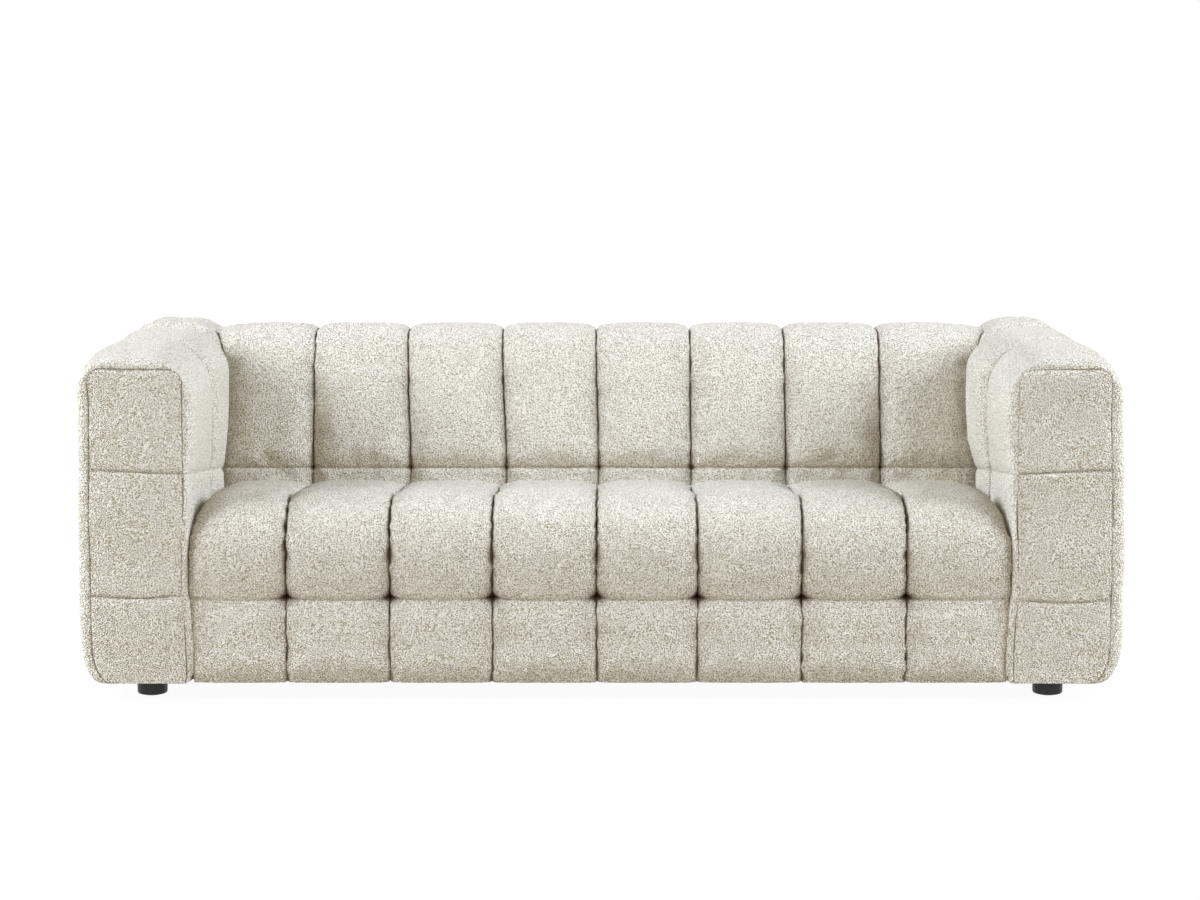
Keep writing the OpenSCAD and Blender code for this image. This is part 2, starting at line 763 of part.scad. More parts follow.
// Two rails under the top of an arm and one that the inside cover is stapled to
module arm_rails() {
  rail_low = arm_rail_top - arm_rail_h;
  for (place = [[arm_rail_in, rail_low], [arm_rail_out - rail_t, rail_low],
      [arm_rail_in, arm_opening_h]])
    block([place.x, rail_front, place.y], [place.x + rail_t, rear_rail_back, place.y + arm_rail_h]);
}

module right_arm_rails() {
  color(timber) arm_rails();
}

module left_arm_rails() {
  color(timber) left() arm_rails();
}

// Upright posts beside the rails
module arm_posts() {
  for (x = [block_in, block_out - rail_t])
    block([x, arm_seam_d, frame_z], [x + rail_t, arm_seam_d + post_w, arm_rail_top]);
}

module right_arm_posts() {
  color(timber) arm_posts();
}

module left_arm_posts() {
  color(timber) left() arm_posts();
}

module arm_inner_panel() {
  block([arm_in + clear, rail_front, arm_opening_h],
    [arm_rail_in, rear_rail_back, arm_rail_top]);
}

module right_arm_inner_panel() {
  color(hardboard) arm_inner_panel();
}

module left_arm_inner_panel() {
  color(hardboard) left() arm_inner_panel();
}

module arm_outer_panel() {
  block([arm_rail_out, rail_front, body_z + outer_hem_h],
    [arm_out - clear, rear_rail_back, arm_rail_top - clear]);
}

module right_arm_outer_panel() {
  color(hardboard) arm_outer_panel();
}

module left_arm_outer_panel() {
  color(hardboard) left() arm_outer_panel();
}

// Back frame: posts cut from board with the lean of the back, a rail along their tops and a board
// over their rear edges
post_top = inner_top - arm_rail_h;
post_face = seat_depth + post_d;
module back_posts() {
  outline = [[spring_rail_back, frame_z + base_rail_h], [spring_rail_back, seat_rail_top],
    [post_face, seat_rail_top], [post_face, back_seam_h], [post_face + lean(post_top), post_top],
    [back_board_front, post_top], [back_board_front, frame_z + base_rail_h]];
  reach = back_half - clear - rail_t;
  color(plywood)
    for (i = [0 : post_count - 1])
      let (x = mix(-reach, reach, i / (post_count - 1)))
        across(x - rail_t / 2, x + rail_t / 2, outline);
}

module back_top_rail() {
  color(timber)
    block([-back_half + clear, post_face + lean(inner_top), post_top],
      [back_half - clear, back_board_front, inner_top - clear]);
}

module back_board() {
  color(hardboard)
    block([-back_half + clear, back_board_front, frame_z],
      [back_half - clear, rear_skin, inner_top - back_flap_h - clear]);
}

// Places of the legs, and of the bolts through each arm board and rail
leg_x = half_w - leg_side;
leg_front = front_rail_back + flange_d / 2 + leg_gap;
leg_rear = rear_rail_front - flange_d / 2 - leg_gap;
module at_legs() {
  for (x = [-leg_x, leg_x], d = [leg_front, leg_rear])
    translate([x, at(d), 0]) children();
}

bolt_z = frame_z + base_rail_h / 2;
module at_bolts() {
  for (s = [-1, 1], share = [1 / 4, 3 / 4])
    translate([s * mix(block_in, block_out, share), 0, bolt_z]) children();
}

// Holes for a bolt from the front and from the rear, with room for its sunk head
module front_bolt_hole() {
  rod_back(0, 0, 0, bolt_d, front_rail_back + over);
  rod_back(0, 0, 0, bolt_head_d, arm_pad + clear + bolt_head_t);
}

module rear_bolt_hole() {
  rod_back(0, rear_rail_front - over, 0, bolt_d, sofa_d);
  rod_back(0, rear_board_back - bolt_head_t, 0, bolt_head_d, sofa_d);
}

// Bolts through the arm boards into the base, heads outermost and nuts inside
bolt_grip = board_t + rail_t;
module bolt() {
  cylinder(d = bolt_head_d, h = bolt_head_t);
  cylinder(d = bolt_d, h = bolt_grip + nut_t);
}

module frame_bolts() {
  color(steel)
    at_bolts() {
      translate([0, at(arm_pad + clear), 0]) rotate([-90, 0, 0]) bolt();
      translate([0, at(rear_board_back), 0]) rotate([90, 0, 0]) bolt();
    }
}

module nut() {
  difference() {
    cylinder(d = nut_w, h = nut_t, $fn = 6);
    translate([0, 0, -over]) cylinder(d = bolt_d, h = nut_t + 2 * over);
  }
}

module frame_nuts() {
  color(steel)
    at_bolts() {
      translate([0, at(front_rail_back), 0]) rotate([-90, 0, 0]) nut();
      translate([0, at(rear_rail_front), 0]) rotate([90, 0, 0]) nut();
    }
}

// A block in each corner of the base takes a leg
module corner_blocks() {
  color(timber)
    difference() {
      for (s = [0, 1], d = [front_rail_back, rear_rail_front - block_l])
        mirror([s, 0, 0])
          block([block_in, d, frame_z], [block_out, d + block_l, frame_z + block_h]);
      at_legs() translate([0, 0, frame_z - over]) cylinder(d = barrel_d, h = block_h + 2 * over);
    }
}

module leg_t_nuts() {
  color(steel)
    at_legs()
      translate([0, 0, frame_z + block_h])
        difference() {
          union() {
            cylinder(d = flange_d, h = flange_t);
            translate([0, 0, -barrel_l]) cylinder(d = barrel_d, h = barrel_l);
          }
          translate([0, 0, -barrel_l - over])
            cylinder(d = stud_d, h = barrel_l + flange_t + 2 * over);
        }
}

module leg_studs() {
  color(steel)
    at_legs()
      translate([0, 0, body_z - stud_sunk])
        cylinder(d = stud_d, h = stud_sunk + cloth_t + block_h + 2 * flange_t);
}

// A turned leg, slightly tapered, with a rounded foot, a blind hole for its stud and a seat
// for its glide
module leg(x, d) {
  translate([x, at(d), 0])
    difference() {
      rotate_extrude() {
        polygon([[0, glide_proud], [leg_foot_d / 2 - leg_edge, glide_proud],
          [leg_foot_d / 2, glide_proud + leg_edge], [leg_d / 2, leg_h], [0, leg_h]]);
        intersection() {
          translate([leg_foot_d / 2 - leg_edge, glide_proud + leg_edge]) circle(r = leg_edge);
          translate([0, glide_proud]) square([leg_foot_d / 2, leg_edge]);
        }
      }
      translate([0, 0, glide_proud - over]) cylinder(d = glide_d, h = glide_t - glide_proud + over);
      translate([0, 0, leg_h - stud_sunk]) cylinder(d = stud_d, h = stud_sunk + over);
    }
}

module front_left_leg() {
  color(black) leg(-leg_x, leg_front);
}

module front_right_leg() {
  color(black) leg(leg_x, leg_front);
}

module rear_left_leg() {
  color(black) leg(-leg_x, leg_rear);
}

module rear_right_leg() {
  color(black) leg(leg_x, leg_rear);
}

module leg_glides() {
  color(black) at_legs() cylinder(d = glide_d, h = glide_t);
}

seat_cover();
back_cover();
left_arm_cover();
right_arm_cover();
left_corner_cover();
right_corner_cover();
outside_back_cover();
dust_cloth();
seat_foam();
back_foam();
left_arm_foam();
right_arm_foam();
felt_deck();
seat_springs();
spring_clips();
tie_wires();
back_webs();
front_rail();
spring_rail();
rear_rail();
left_seat_side_rail();
right_seat_side_rail();
left_base_side_rail();
right_base_side_rail();
cross_rails();
left_arm_front_board();
right_arm_front_board();
left_arm_rear_board();
right_arm_rear_board();
left_arm_rails();
right_arm_rails();
left_arm_posts();
right_arm_posts();
left_arm_inner_panel();
right_arm_inner_panel();
left_arm_outer_panel();
right_arm_outer_panel();
back_posts();
back_top_rail();
back_board();
corner_blocks();
frame_bolts();
frame_nuts();
leg_t_nuts();
leg_studs();
front_left_leg();
front_right_leg();
rear_left_leg();
rear_right_leg();
leg_glides();
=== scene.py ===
import math

import bmesh
import bpy
import numpy as np
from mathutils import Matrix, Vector, noise


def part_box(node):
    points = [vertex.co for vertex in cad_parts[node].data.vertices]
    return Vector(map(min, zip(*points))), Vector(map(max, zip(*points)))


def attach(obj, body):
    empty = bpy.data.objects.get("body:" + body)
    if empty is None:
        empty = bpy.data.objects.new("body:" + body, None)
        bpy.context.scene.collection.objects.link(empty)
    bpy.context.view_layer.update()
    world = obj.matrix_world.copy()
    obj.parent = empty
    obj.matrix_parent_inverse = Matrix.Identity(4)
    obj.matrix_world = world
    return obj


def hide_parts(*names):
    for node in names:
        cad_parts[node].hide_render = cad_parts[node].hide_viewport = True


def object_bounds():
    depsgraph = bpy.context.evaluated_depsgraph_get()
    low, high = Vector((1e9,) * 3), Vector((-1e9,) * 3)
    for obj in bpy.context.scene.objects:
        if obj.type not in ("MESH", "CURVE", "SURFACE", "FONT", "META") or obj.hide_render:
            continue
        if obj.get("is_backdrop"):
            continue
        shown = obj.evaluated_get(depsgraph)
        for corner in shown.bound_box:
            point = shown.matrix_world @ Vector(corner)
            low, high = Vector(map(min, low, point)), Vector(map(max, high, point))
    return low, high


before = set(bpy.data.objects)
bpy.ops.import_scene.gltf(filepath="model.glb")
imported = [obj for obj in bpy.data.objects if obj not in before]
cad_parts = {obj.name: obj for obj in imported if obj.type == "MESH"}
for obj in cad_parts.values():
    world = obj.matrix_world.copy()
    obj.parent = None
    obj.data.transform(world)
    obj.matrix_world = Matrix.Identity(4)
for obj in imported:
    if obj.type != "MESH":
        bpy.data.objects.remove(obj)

cad_low, cad_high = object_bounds()
scene = bpy.context.scene


# Camera. It stands square in front of the sofa, a little above its top, and looks slightly down
# through a long lens, so the tops of the arms and of the channels show as narrow strips.
camera_back = 5.9
camera_height = 1.296
camera_pitch_deg = 7.33
eye = bpy.data.cameras.new("camera")
eye.sensor_width = 36
eye.lens = 85.2
camera = bpy.data.objects.new("camera", eye)
camera.location = (0, cad_low.y - camera_back, camera_height)
camera.rotation_euler = (math.radians(90 - camera_pitch_deg), 0, 0)
scene.collection.objects.link(camera)
scene.camera = camera
scene.view_settings.view_transform = "Standard"


# Studio. A wide pale floor under white air, with large soft boxes far out on both sides and behind,
# and less light from overhead and from the front, as the tops and the inner arms are brightest.
def node(finish, kind, **settings):
    made = finish.node_tree.nodes.new("ShaderNode" + kind)
    for name, value in settings.items():
        setattr(made, name, value)
    return made


def join(finish, start, end):
    finish.node_tree.links.new(start, end)


def seen_rays(finish):
    """1 where a ray shows the studio: straight to the camera, in a gloss or through glass."""
    rays = node(finish, "LightPath")
    seen = rays.outputs["Is Camera Ray"]
    for more in ("Is Glossy Ray", "Is Transmission Ray"):
        either = node(finish, "Math", operation="MAXIMUM")
        join(finish, seen, either.inputs[0])
        join(finish, rays.outputs[more], either.inputs[1])
        seen = either.outputs[0]
    return seen


def blend(finish, factor, first, second):
    """One surface at a factor of 0 and the other at 1."""
    both_kinds = node(finish, "MixShader")
    join(finish, factor, both_kinds.inputs["Fac"])
    join(finish, first.outputs[0], both_kinds.inputs[1])
    join(finish, second.outputs[0], both_kinds.inputs[2])
    return both_kinds


studio_white = (1, 1, 1, 1)
white_strength = 1.04
floor_reach = 14.0
floor_mesh = bpy.data.meshes.new("studio_floor")
floor_mesh.from_pydata([(x * floor_reach, y * floor_reach, cad_low.z)
                        for x, y in ((-1, -1), (1, -1), (1, 1), (-1, 1))], [], [(0, 1, 2, 3)])
studio_floor = bpy.data.objects.new("studio_floor", floor_mesh)
scene.collection.objects.link(studio_floor)
studio_floor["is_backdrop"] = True

# The floor is white, keeps a faint shadow near the sofa, and can be looked through from below.
floor_paint = bpy.data.materials.new("floor_paint")
floor_paint.use_nodes = True
matt = floor_paint.node_tree.nodes["Principled BSDF"]
matt.inputs["Base Color"].default_value = (0.52, 0.48, 0.41, 1)
matt.inputs["Roughness"].default_value = 0.9
matt.inputs["Specular IOR Level"].default_value = 0.1
white = node(floor_paint, "Emission")
white.inputs["Color"].default_value = studio_white
white.inputs["Strength"].default_value = white_strength
there = node(floor_paint, "TexCoord")
away = node(floor_paint, "VectorMath", operation="LENGTH")
join(floor_paint, there.outputs["Object"], away.inputs[0])
fade = node(floor_paint, "MapRange")
for name, value in (("From Min", 1.5), ("From Max", 3.5), ("To Min", 0.92), ("To Max", 1)):
    fade.inputs[name].default_value = value
join(floor_paint, away.outputs["Value"], fade.inputs["Value"])
share = node(floor_paint, "Math", operation="MULTIPLY")
join(floor_paint, fade.outputs["Result"], share.inputs[0])
join(floor_paint, seen_rays(floor_paint), share.inputs[1])
lit = blend(floor_paint, share.outputs[0], matt, white)
which_side = node(floor_paint, "NewGeometry")
clear = node(floor_paint, "BsdfTransparent")
from_above = blend(floor_paint, which_side.outputs["Backfacing"], lit, clear)
join(floor_paint, from_above.outputs[0], floor_paint.node_tree.nodes["Material Output"].inputs["Surface"])
floor_mesh.materials.append(floor_paint)

world = bpy.data.worlds.new("studio_air")
scene.world = world
world.use_nodes = True
air = world.node_tree.nodes["Background"]
air.inputs["Color"].default_value = (1, 0.955, 0.89, 1)
air.inputs["Strength"].default_value = 0.3
white_air = node(world, "Background")
white_air.inputs["Color"].default_value = studio_white
white_air.inputs["Strength"].default_value = white_strength
around = blend(world, seen_rays(world), air, white_air)
join(world, around.outputs[0], world.node_tree.nodes["World Output"].inputs["Surface"])


def soft_box(name, place, aim, size, power, tint):
    lamp = bpy.data.lights.new(name, "AREA")
    lamp.shape = "RECTANGLE"
    lamp.size, lamp.size_y = size
    lamp.energy = power
    lamp.color = tint
    box = bpy.data.objects.new(name, lamp)
    box.location = place
    box.rotation_euler = (Vector(aim) - Vector(place)).to_track_quat("-Z", "Y").to_euler()
    scene.collection.objects.link(box)


cool = (0.745, 0.816, 1)
warm = (1, 0.87, 0.61)
soft_box("left_soft_box", (-8, -1.9, 4.4), (0.2, 0, 0.4), (4, 4), 1390, cool)
soft_box("right_soft_box", (8, -1.9, 4.4), (-0.2, 0, 0.4), (4, 4), 1320, cool)
soft_box("top_soft_box", (0, -0.6, 3.2), (0, 0.1, 0.3), (4.2, 2.4), 17, cool)
soft_box("front_soft_box", (-0.6, -4.6, 1.5), (0, 0, 0.4), (4, 2), 16, warm)
soft_box("rear_soft_box", (0, 7.5, 1.6), (0, 0, 0.4), (4, 2.4), 340, cool)


# Timber of the frame. Pine rails and blocks, birch plywood boards and posts and brown hardboard
# panels are glued and stapled together. They are sawn, unpainted and hidden by the covers.
def new_finish(name, roughness, specular=0.3):
    finish = bpy.data.materials.new(name)
    finish.use_nodes = True
    shader = finish.node_tree.nodes["Principled BSDF"]
    shader.inputs["Roughness"].default_value = roughness
    shader.inputs["Specular IOR Level"].default_value = specular
    return finish, shader


def place_of(finish, stretch=(1, 1, 1)):
    there = node(finish, "TexCoord")
    sized = node(finish, "Mapping")
    sized.inputs["Scale"].default_value = stretch
    join(finish, there.outputs["Object"], sized.inputs["Vector"])
    return sized.outputs["Vector"]


def speckle(finish, where, scale, detail=2.0, rough=0.5):
    grain = node(finish, "TexNoise")
    grain.inputs["Scale"].default_value = scale
    grain.inputs["Detail"].default_value = detail
    grain.inputs["Roughness"].default_value = rough
    join(finish, where, grain.inputs["Vector"])
    return grain.outputs["Fac"]


def colours(finish, amount, *stops):
    ramp = node(finish, "ValToRGB")
    while len(ramp.color_ramp.elements) < len(stops):
        ramp.color_ramp.elements.new(0.5)
    for element, (place, colour) in zip(ramp.color_ramp.elements, stops):
        element.position = place
        element.color = (*colour, 1)
    join(finish, amount, ramp.inputs["Fac"])
    return ramp.outputs["Color"]


def raise_up(finish, shader, height, depth):
    bump = node(finish, "Bump")
    bump.inputs["Distance"].default_value = depth
    bump.inputs["Strength"].default_value = 1
    join(finish, height, bump.inputs["Height"])
    join(finish, bump.outputs["Normal"], shader.inputs["Normal"])


def grained_finish(name, light, dark, scale, depth, stretch=(1, 1, 1), roughness=0.75, specular=0.3,
                   detail=6, rough=0.5, spread=0.15):
    """Two colours in an uneven grain that also stands up by a depth."""
    finish, shader = new_finish(name, roughness, specular)
    grain = speckle(finish, place_of(finish, stretch), scale, detail, rough)
    tones = colours(finish, grain, (0.5 - spread, dark), (0.5 + spread, light))
    join(finish, tones, shader.inputs["Base Color"])
    raise_up(finish, shader, grain, depth)
    return finish


def dress(finish, *names):
    for name in names:
        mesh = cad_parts[name].data
        mesh.materials.clear()
        mesh.materials.append(finish)


both = ("left", "right")
pine_light, pine_dark = (0.72, 0.52, 0.3), (0.55, 0.35, 0.18)
pine = grained_finish("sawn_pine", pine_light, pine_dark, 1.2, 0.0004, (4, 60, 60))
dress(pine, "front_rail", "spring_rail", "rear_rail", "back_top_rail", "corner_blocks")
side_pine = grained_finish("sawn_pine_side", pine_light, pine_dark, 1.2, 0.0004, (60, 4, 60))
dress(side_pine, "cross_rails", *[side + rail for side in both for rail in
      ("_seat_side_rail", "_base_side_rail", "_arm_rails", "_arm_posts")])
birch = grained_finish("birch_plywood", (0.8, 0.66, 0.46), (0.62, 0.45, 0.28), 1.4, 0.0003, (90, 5, 5))
dress(birch, "back_posts", *[side + board for side in both for board in
      ("_arm_front_board", "_arm_rear_board")])
brown_board = grained_finish("hardboard", (0.36, 0.22, 0.12), (0.26, 0.15, 0.08), 160, 0.0002)
dress(brown_board, "back_board", *[side + panel for side in both for panel in
      ("_arm_inner_panel", "_arm_outer_panel")])


# Steel. Sinuous springs and tie wires of drawn spring wire, pressed clips nailed to the rails, and
# plated bolts, nuts, T-nuts and leg studs. All of it lies inside the frame.
steel = grained_finish("bright_steel", (0.62, 0.62, 0.6), (0.45, 0.45, 0.44), 14, 0.0001, (30, 30, 30),
                       roughness=0.38, specular=0.5, detail=4, spread=0.2)
steel.node_tree.nodes["Principled BSDF"].inputs["Metallic"].default_value = 1
dress(steel, "seat_springs", "spring_clips", "tie_wires", "frame_bolts", "frame_nuts", "leg_t_nuts",
      "leg_studs")


# Webs. Four elastic webs run across the front of the back posts and are stapled to them under
# tension. They are woven from rubber and polyester yarn in black and tan.
webbing, webbing_shader = new_finish("elastic_webbing", 0.9, 0.1)
wefts = node(webbing, "TexWave", bands_direction="X")
wefts.inputs["Scale"].default_value = 180
wefts.inputs["Distortion"].default_value = 1.5
join(webbing, place_of(webbing), wefts.inputs["Vector"])
black_and_tan = colours(webbing, wefts.outputs["Fac"], (0.3, (0.05, 0.045, 0.04)),
                        (0.7, (0.16, 0.12, 0.08)))
join(webbing, black_and_tan, webbing_shader.inputs["Base Color"])
raise_up(webbing, webbing_shader, wefts.outputs["Fac"], 0.0004)
dress(webbing, "back_webs")


# Felt. One sheet of needled grey felt lies loose on the springs and tie wires. It keeps the wires
# from cutting into the foam and is held down by the seat.
crisp_edge_deg = 60


def add_piece(name, bm, finish, slot, *nodes):
    mesh = bpy.data.meshes.new(name)
    bmesh.ops.recalc_face_normals(bm, faces=bm.faces)
    bm.to_mesh(mesh)
    bm.free()
    mesh.polygons.foreach_set("use_smooth", [True] * len(mesh.polygons))
    mesh.set_sharp_from_angle(angle=math.radians(crisp_edge_deg))
    mesh.materials.append(finish)
    piece = bpy.data.objects.new(name, mesh)
    scene.collection.objects.link(piece)
    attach(piece, "root")
    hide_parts(*nodes)
    return piece


def fibre_finish(name, light, dark, scale, depth):
    return grained_finish(name, light, dark, scale, depth, roughness=0.95, specular=0.05, detail=8,
                          rough=0.75)


def extruded(outline, ends, place):
    """A solid of an outline from one end to the other, whose points place sets up."""
    bm = bmesh.new()
    rings = [[bm.verts.new(place(across, up, end)) for across, up in outline] for end in ends]
    for ring in rings:
        bm.faces.new(ring)
    for k in range(len(outline)):
        bm.faces.new((rings[0][k - 1], rings[0][k], rings[1][k], rings[1][k - 1]))
    bmesh.ops.recalc_face_normals(bm, faces=bm.faces)
    return bm


def lying_flat(x, y, z):
    return x, y, z


felt_low, felt_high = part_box("felt_deck")
felt_grey = fibre_finish("needled_felt", (0.24, 0.235, 0.23), (0.1, 0.1, 0.1), 420, 0.0006)
corners = [(felt_low.x, felt_low.y), (felt_high.x, felt_low.y), (felt_high.x, felt_high.y),
           (felt_low.x, felt_high.y)]
felt = add_piece("felt_sheet", extruded(corners, (felt_low.z, felt_high.z), lying_flat), felt_grey,
                 "felt", "felt_deck")


# Foam. Cut blocks of cream foam, firm in the seat and softer in the back and on the arms. Their
# edges are slightly rounded by the covers that are pulled over them.
foam_cells = fibre_finish("cut_foam", (0.88, 0.83, 0.62), (0.74, 0.67, 0.45), 700, 0.0005)
foam_edge = 0.006
foam_edge_deg = 20
flat_deg = 1
same_point = 1e-5


def foam_block(name, node_name):
    bm = bmesh.new()
    bm.from_mesh(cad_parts[node_name].data)
    bmesh.ops.remove_doubles(bm, verts=bm.verts, dist=same_point)
    bmesh.ops.dissolve_limit(bm, angle_limit=math.radians(flat_deg), verts=bm.verts, edges=bm.edges)
    sharp = [e for e in bm.edges
             if len(e.link_faces) == 2 and e.calc_face_angle(0) > math.radians(foam_edge_deg)]
    bmesh.ops.bevel(bm, geom=sharp, offset=foam_edge, segments=3, affect="EDGES", profile=0.5)
    add_piece(name, bm, foam_cells, "foam", node_name)


foam_block("seat_foam_block", "seat_foam")
foam_block("back_foam_block", "back_foam")
for side in both:
    foam_block(side + "_arm_foam_block", side + "_arm_foam")


# Boucle. A cream looped yarn in wool and cotton, knitted to a soft backing. Small curls stand
# close together. Their colour is partly the yarn's own uneven tone and partly painted shade, darker and
# warmer in the gaps between them.
boucle, boucle_shader = new_finish("cream_boucle", 0.96, 0.12)
boucle_shader.inputs["Sheen Weight"].default_value = 0.06
boucle_shader.inputs["Sheen Roughness"].default_value = 0.6
cloth_place = place_of(boucle)
curls = speckle(boucle, cloth_place, 400, 0)
# The ramp follows the same noise as the curls' height: cream on the crowns, and painted shade in the gaps
# between them.
curl_tone_and_shade = colours(boucle, curls, (0.33, (0.4, 0.328, 0.203)), (0.46, (0.695, 0.638, 0.49)),
               (0.6, (0.86, 0.813, 0.694)))
# The "seam" attribute mixes the colour towards dark brown: painted shade in the grooves of the seams and
# round the tufts.
seam_shade_amount = node(boucle, "Attribute", attribute_name="seam")
seam_shaded_colour = node(boucle, "Mix", data_type="RGBA")
join(boucle, seam_shade_amount.outputs["Fac"], seam_shaded_colour.inputs[0])
join(boucle, curl_tone_and_shade, seam_shaded_colour.inputs[6])
seam_shaded_colour.inputs[7].default_value = (0.16, 0.09, 0.045, 1)
join(boucle, seam_shaded_colour.outputs[2], boucle_shader.inputs["Base Color"])
raise_up(boucle, boucle_shader, curls, 0.006)


# Seat cover. Boucle quilted over fibre filling in eight channels, from the hem under the front over
# the front edge to the back. A tufted seam crosses them on the front and another on the seat. It is
# stapled under the front rail and behind the seat.
front_y = cad_low.y
seat_low, seat_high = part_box("seat_cover")
hem_z = seat_low.z
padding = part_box("front_rail")[0].y - front_y
core_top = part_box("seat_foam")[1].z
seat_end = seat_high.y - front_y
quilt_height = seat_high.z - core_top
front_seam_z = 0.222
cross_seam_d = 0.3
channel_count = 8
back_half = 0.872
pitch = 2 * back_half / channel_count
fullness = 4.5
fine_columns = 34
coarse_columns = 20
coarse_spacing = 0.011
fine_spacing = 0.0065
clearance = 0.0003
curl_size = 0.0075
curl_height = 0.0011
seed_step = 7.1


def mix(a, b, share):
    return a + (b - a) * share


def crowd(first, last, count, share):
    """Places from first to last, crowded towards both by a share."""
    steady = np.linspace(0, 1, count + 1)
    return first + (last - first) * mix(steady, 0.5 - 0.5 * np.cos(math.pi * steady), share)


def lengths_along(line):
    return np.concatenate([[0], np.cumsum(np.linalg.norm(np.diff(line, axis=0), axis=1))])


def follow(points, knots, places):
    """A smooth line through points that stand at knots, read off at places."""
    points, knots = np.asarray(points, float), np.asarray(knots, float)
    steps = np.diff(knots)
    slopes = np.diff(points, axis=0) / steps[:, None]
    both_steps = (steps[:-1] + steps[1:])[:, None]
    inner = (slopes[:-1] * steps[1:, None] + slopes[1:] * steps[:-1, None]) / both_steps
    tangents = np.vstack([slopes[:1], inner, slopes[-1:]])
    k = np.clip(np.searchsorted(knots, places, side="right") - 1, 0, len(steps) - 1)
    h = steps[k][:, None]
    t = ((places - knots[k]) / steps[k])[:, None]
    return ((1 + 2 * t) * (1 - t) ** 2 * points[k] + t * (1 - t) ** 2 * h * tangents[k]
            + t * t * (3 - 2 * t) * points[k + 1] + t * t * (t - 1) * h * tangents[k + 1])


def read_rows(rows, breaks, spacing, share):
    """Lines of crown, seam and end points through the rows, crowded towards the cross seams."""
    rows = np.array(rows, float)
    lines, places, seams = [], [], [0]
    for j, (first, last) in enumerate(zip(breaks[:-1], breaks[1:])):
        part = rows[first:last + 1]
        knots = lengths_along(part[:, 0])
        count = max(4, round(knots[-1] / spacing))
        along = crowd(0, 1, count, share)
        line = follow(part.reshape(len(part), -1), knots, along * knots[-1]).reshape(-1, 3, 2)
        lines.append(line if j == 0 else line[1:])
        places.append(j + (along if j == 0 else along[1:]))
        seams.append(seams[-1] + count)
    return np.concatenate(lines), np.concatenate(places), seams


def lay_quilt(lines, columns, half, wander):
    """Points of a quilt: the lines carried across the channels, with a crown in each."""
    points = np.zeros((len(lines), len(columns), 3))
    seam_x = np.clip(-back_half + pitch * np.arange(channel_count + 1), -half, half)
    for c, place in enumerate(columns):
        i = min(int(place), channel_count - 1)
        u = place - i
        at_end = (i == 0 and u < 0.5) or (i == channel_count - 1 and u > 0.5)
        crown = math.sqrt(max(0, 1 - abs(2 * u - 1) ** (2 if at_end else fullness)))
        line = mix(lines[:, 2 if at_end else 1], lines[:, 0], crown)
        points[:, c, 0] = mix(seam_x[i], seam_x[i + 1], u) + mix(wander[i], wander[i + 1], u)
        points[:, c, 1:] = line + [front_y, 0]
    return points


def faces_of(rows, columns):
    base = (np.arange(rows - 1)[:, None] * columns + np.arange(columns - 1)).ravel()
    return np.stack([base, base + 1, base + columns + 1, base + columns], axis=1)


cloth_steps = 20


def fill_cloth(points, sewn, slack, pressure, furthest):
    """Cuts cloth with some slack, holds it where it is sewn and lets the filling press it out."""
    rows, columns = points.shape[:2]
    mesh = bpy.data.meshes.new("filled_cloth")
    mesh.from_pydata(points.reshape(-1, 3).tolist(), [], faces_of(rows, columns).tolist())
    cloth = bpy.data.objects.new("filled_cloth", mesh)
    scene.collection.objects.link(cloth)
    cloth.vertex_groups.new(name="sewn").add(np.flatnonzero(sewn.ravel()).tolist(), 1, "REPLACE")
    settings = cloth.modifiers.new("filling", "CLOTH").settings
    settings.quality = 6
    settings.mass = 0.3
    settings.tension_stiffness = settings.compression_stiffness = 25
    settings.shear_stiffness = 12
    settings.bending_stiffness = 0.8
    settings.vertex_group_mass = "sewn"
    settings.use_pressure = True
    settings.uniform_pressure_force = pressure
    settings.shrink_min = -slack
    settings.effector_weights.gravity = 0
    cloth.modifiers["filling"].point_cache.frame_end = cloth_steps
    for step in range(1, cloth_steps + 1):
        scene.frame_set(step)
    ready = cloth.evaluated_get(bpy.context.evaluated_depsgraph_get()).data
    moved = np.zeros(rows * columns * 3)
    ready.vertices.foreach_get("co", moved)
    bpy.data.objects.remove(cloth)
    scene.frame_set(1)
    move = moved.reshape(points.shape) - points
    reach = np.linalg.norm(move, axis=2, keepdims=True)
    return move * (furthest * np.tanh(reach / furthest) / np.maximum(reach, 1e-9))


def carry_over(move, rows, columns, new_rows, new_columns):
    """Reads what the cloth did off at the finer lines and columns."""
    wide = follow(move.reshape(len(rows), -1), rows, new_rows).reshape(len(new_rows), len(columns), 3)
    tall = follow(wide.transpose(1, 0, 2).reshape(len(columns), -1), columns, new_columns)
    return tall.reshape(len(new_columns), len(new_rows), 3).transpose(1, 0, 2)


def outward(points):
    """Directions out of a quilt whose rows climb and whose columns run to the right."""
    across = np.gradient(points, axis=1)
    along = np.gradient(points, axis=0)
    out = np.cross(across, along)
    return out / np.maximum(np.linalg.norm(out, axis=2, keepdims=True), 1e-12)


def noise_at(points, size, shift):
    """Smooth noise of a size, from about -1 to 1, at each point."""
    flat = points.reshape(-1, 3) / size
    return np.array([noise.noise(Vector(p) + shift) for p in flat]).reshape(points.shape[:2])


def nap(points, seed):
    """Small uneven curls of the boucle that stand out of the surface."""
    rise = noise_at(points, curl_size, Vector((seed * seed_step, 0, 0)))
    return points + outward(points) * (rise * curl_height)[:, :, None]


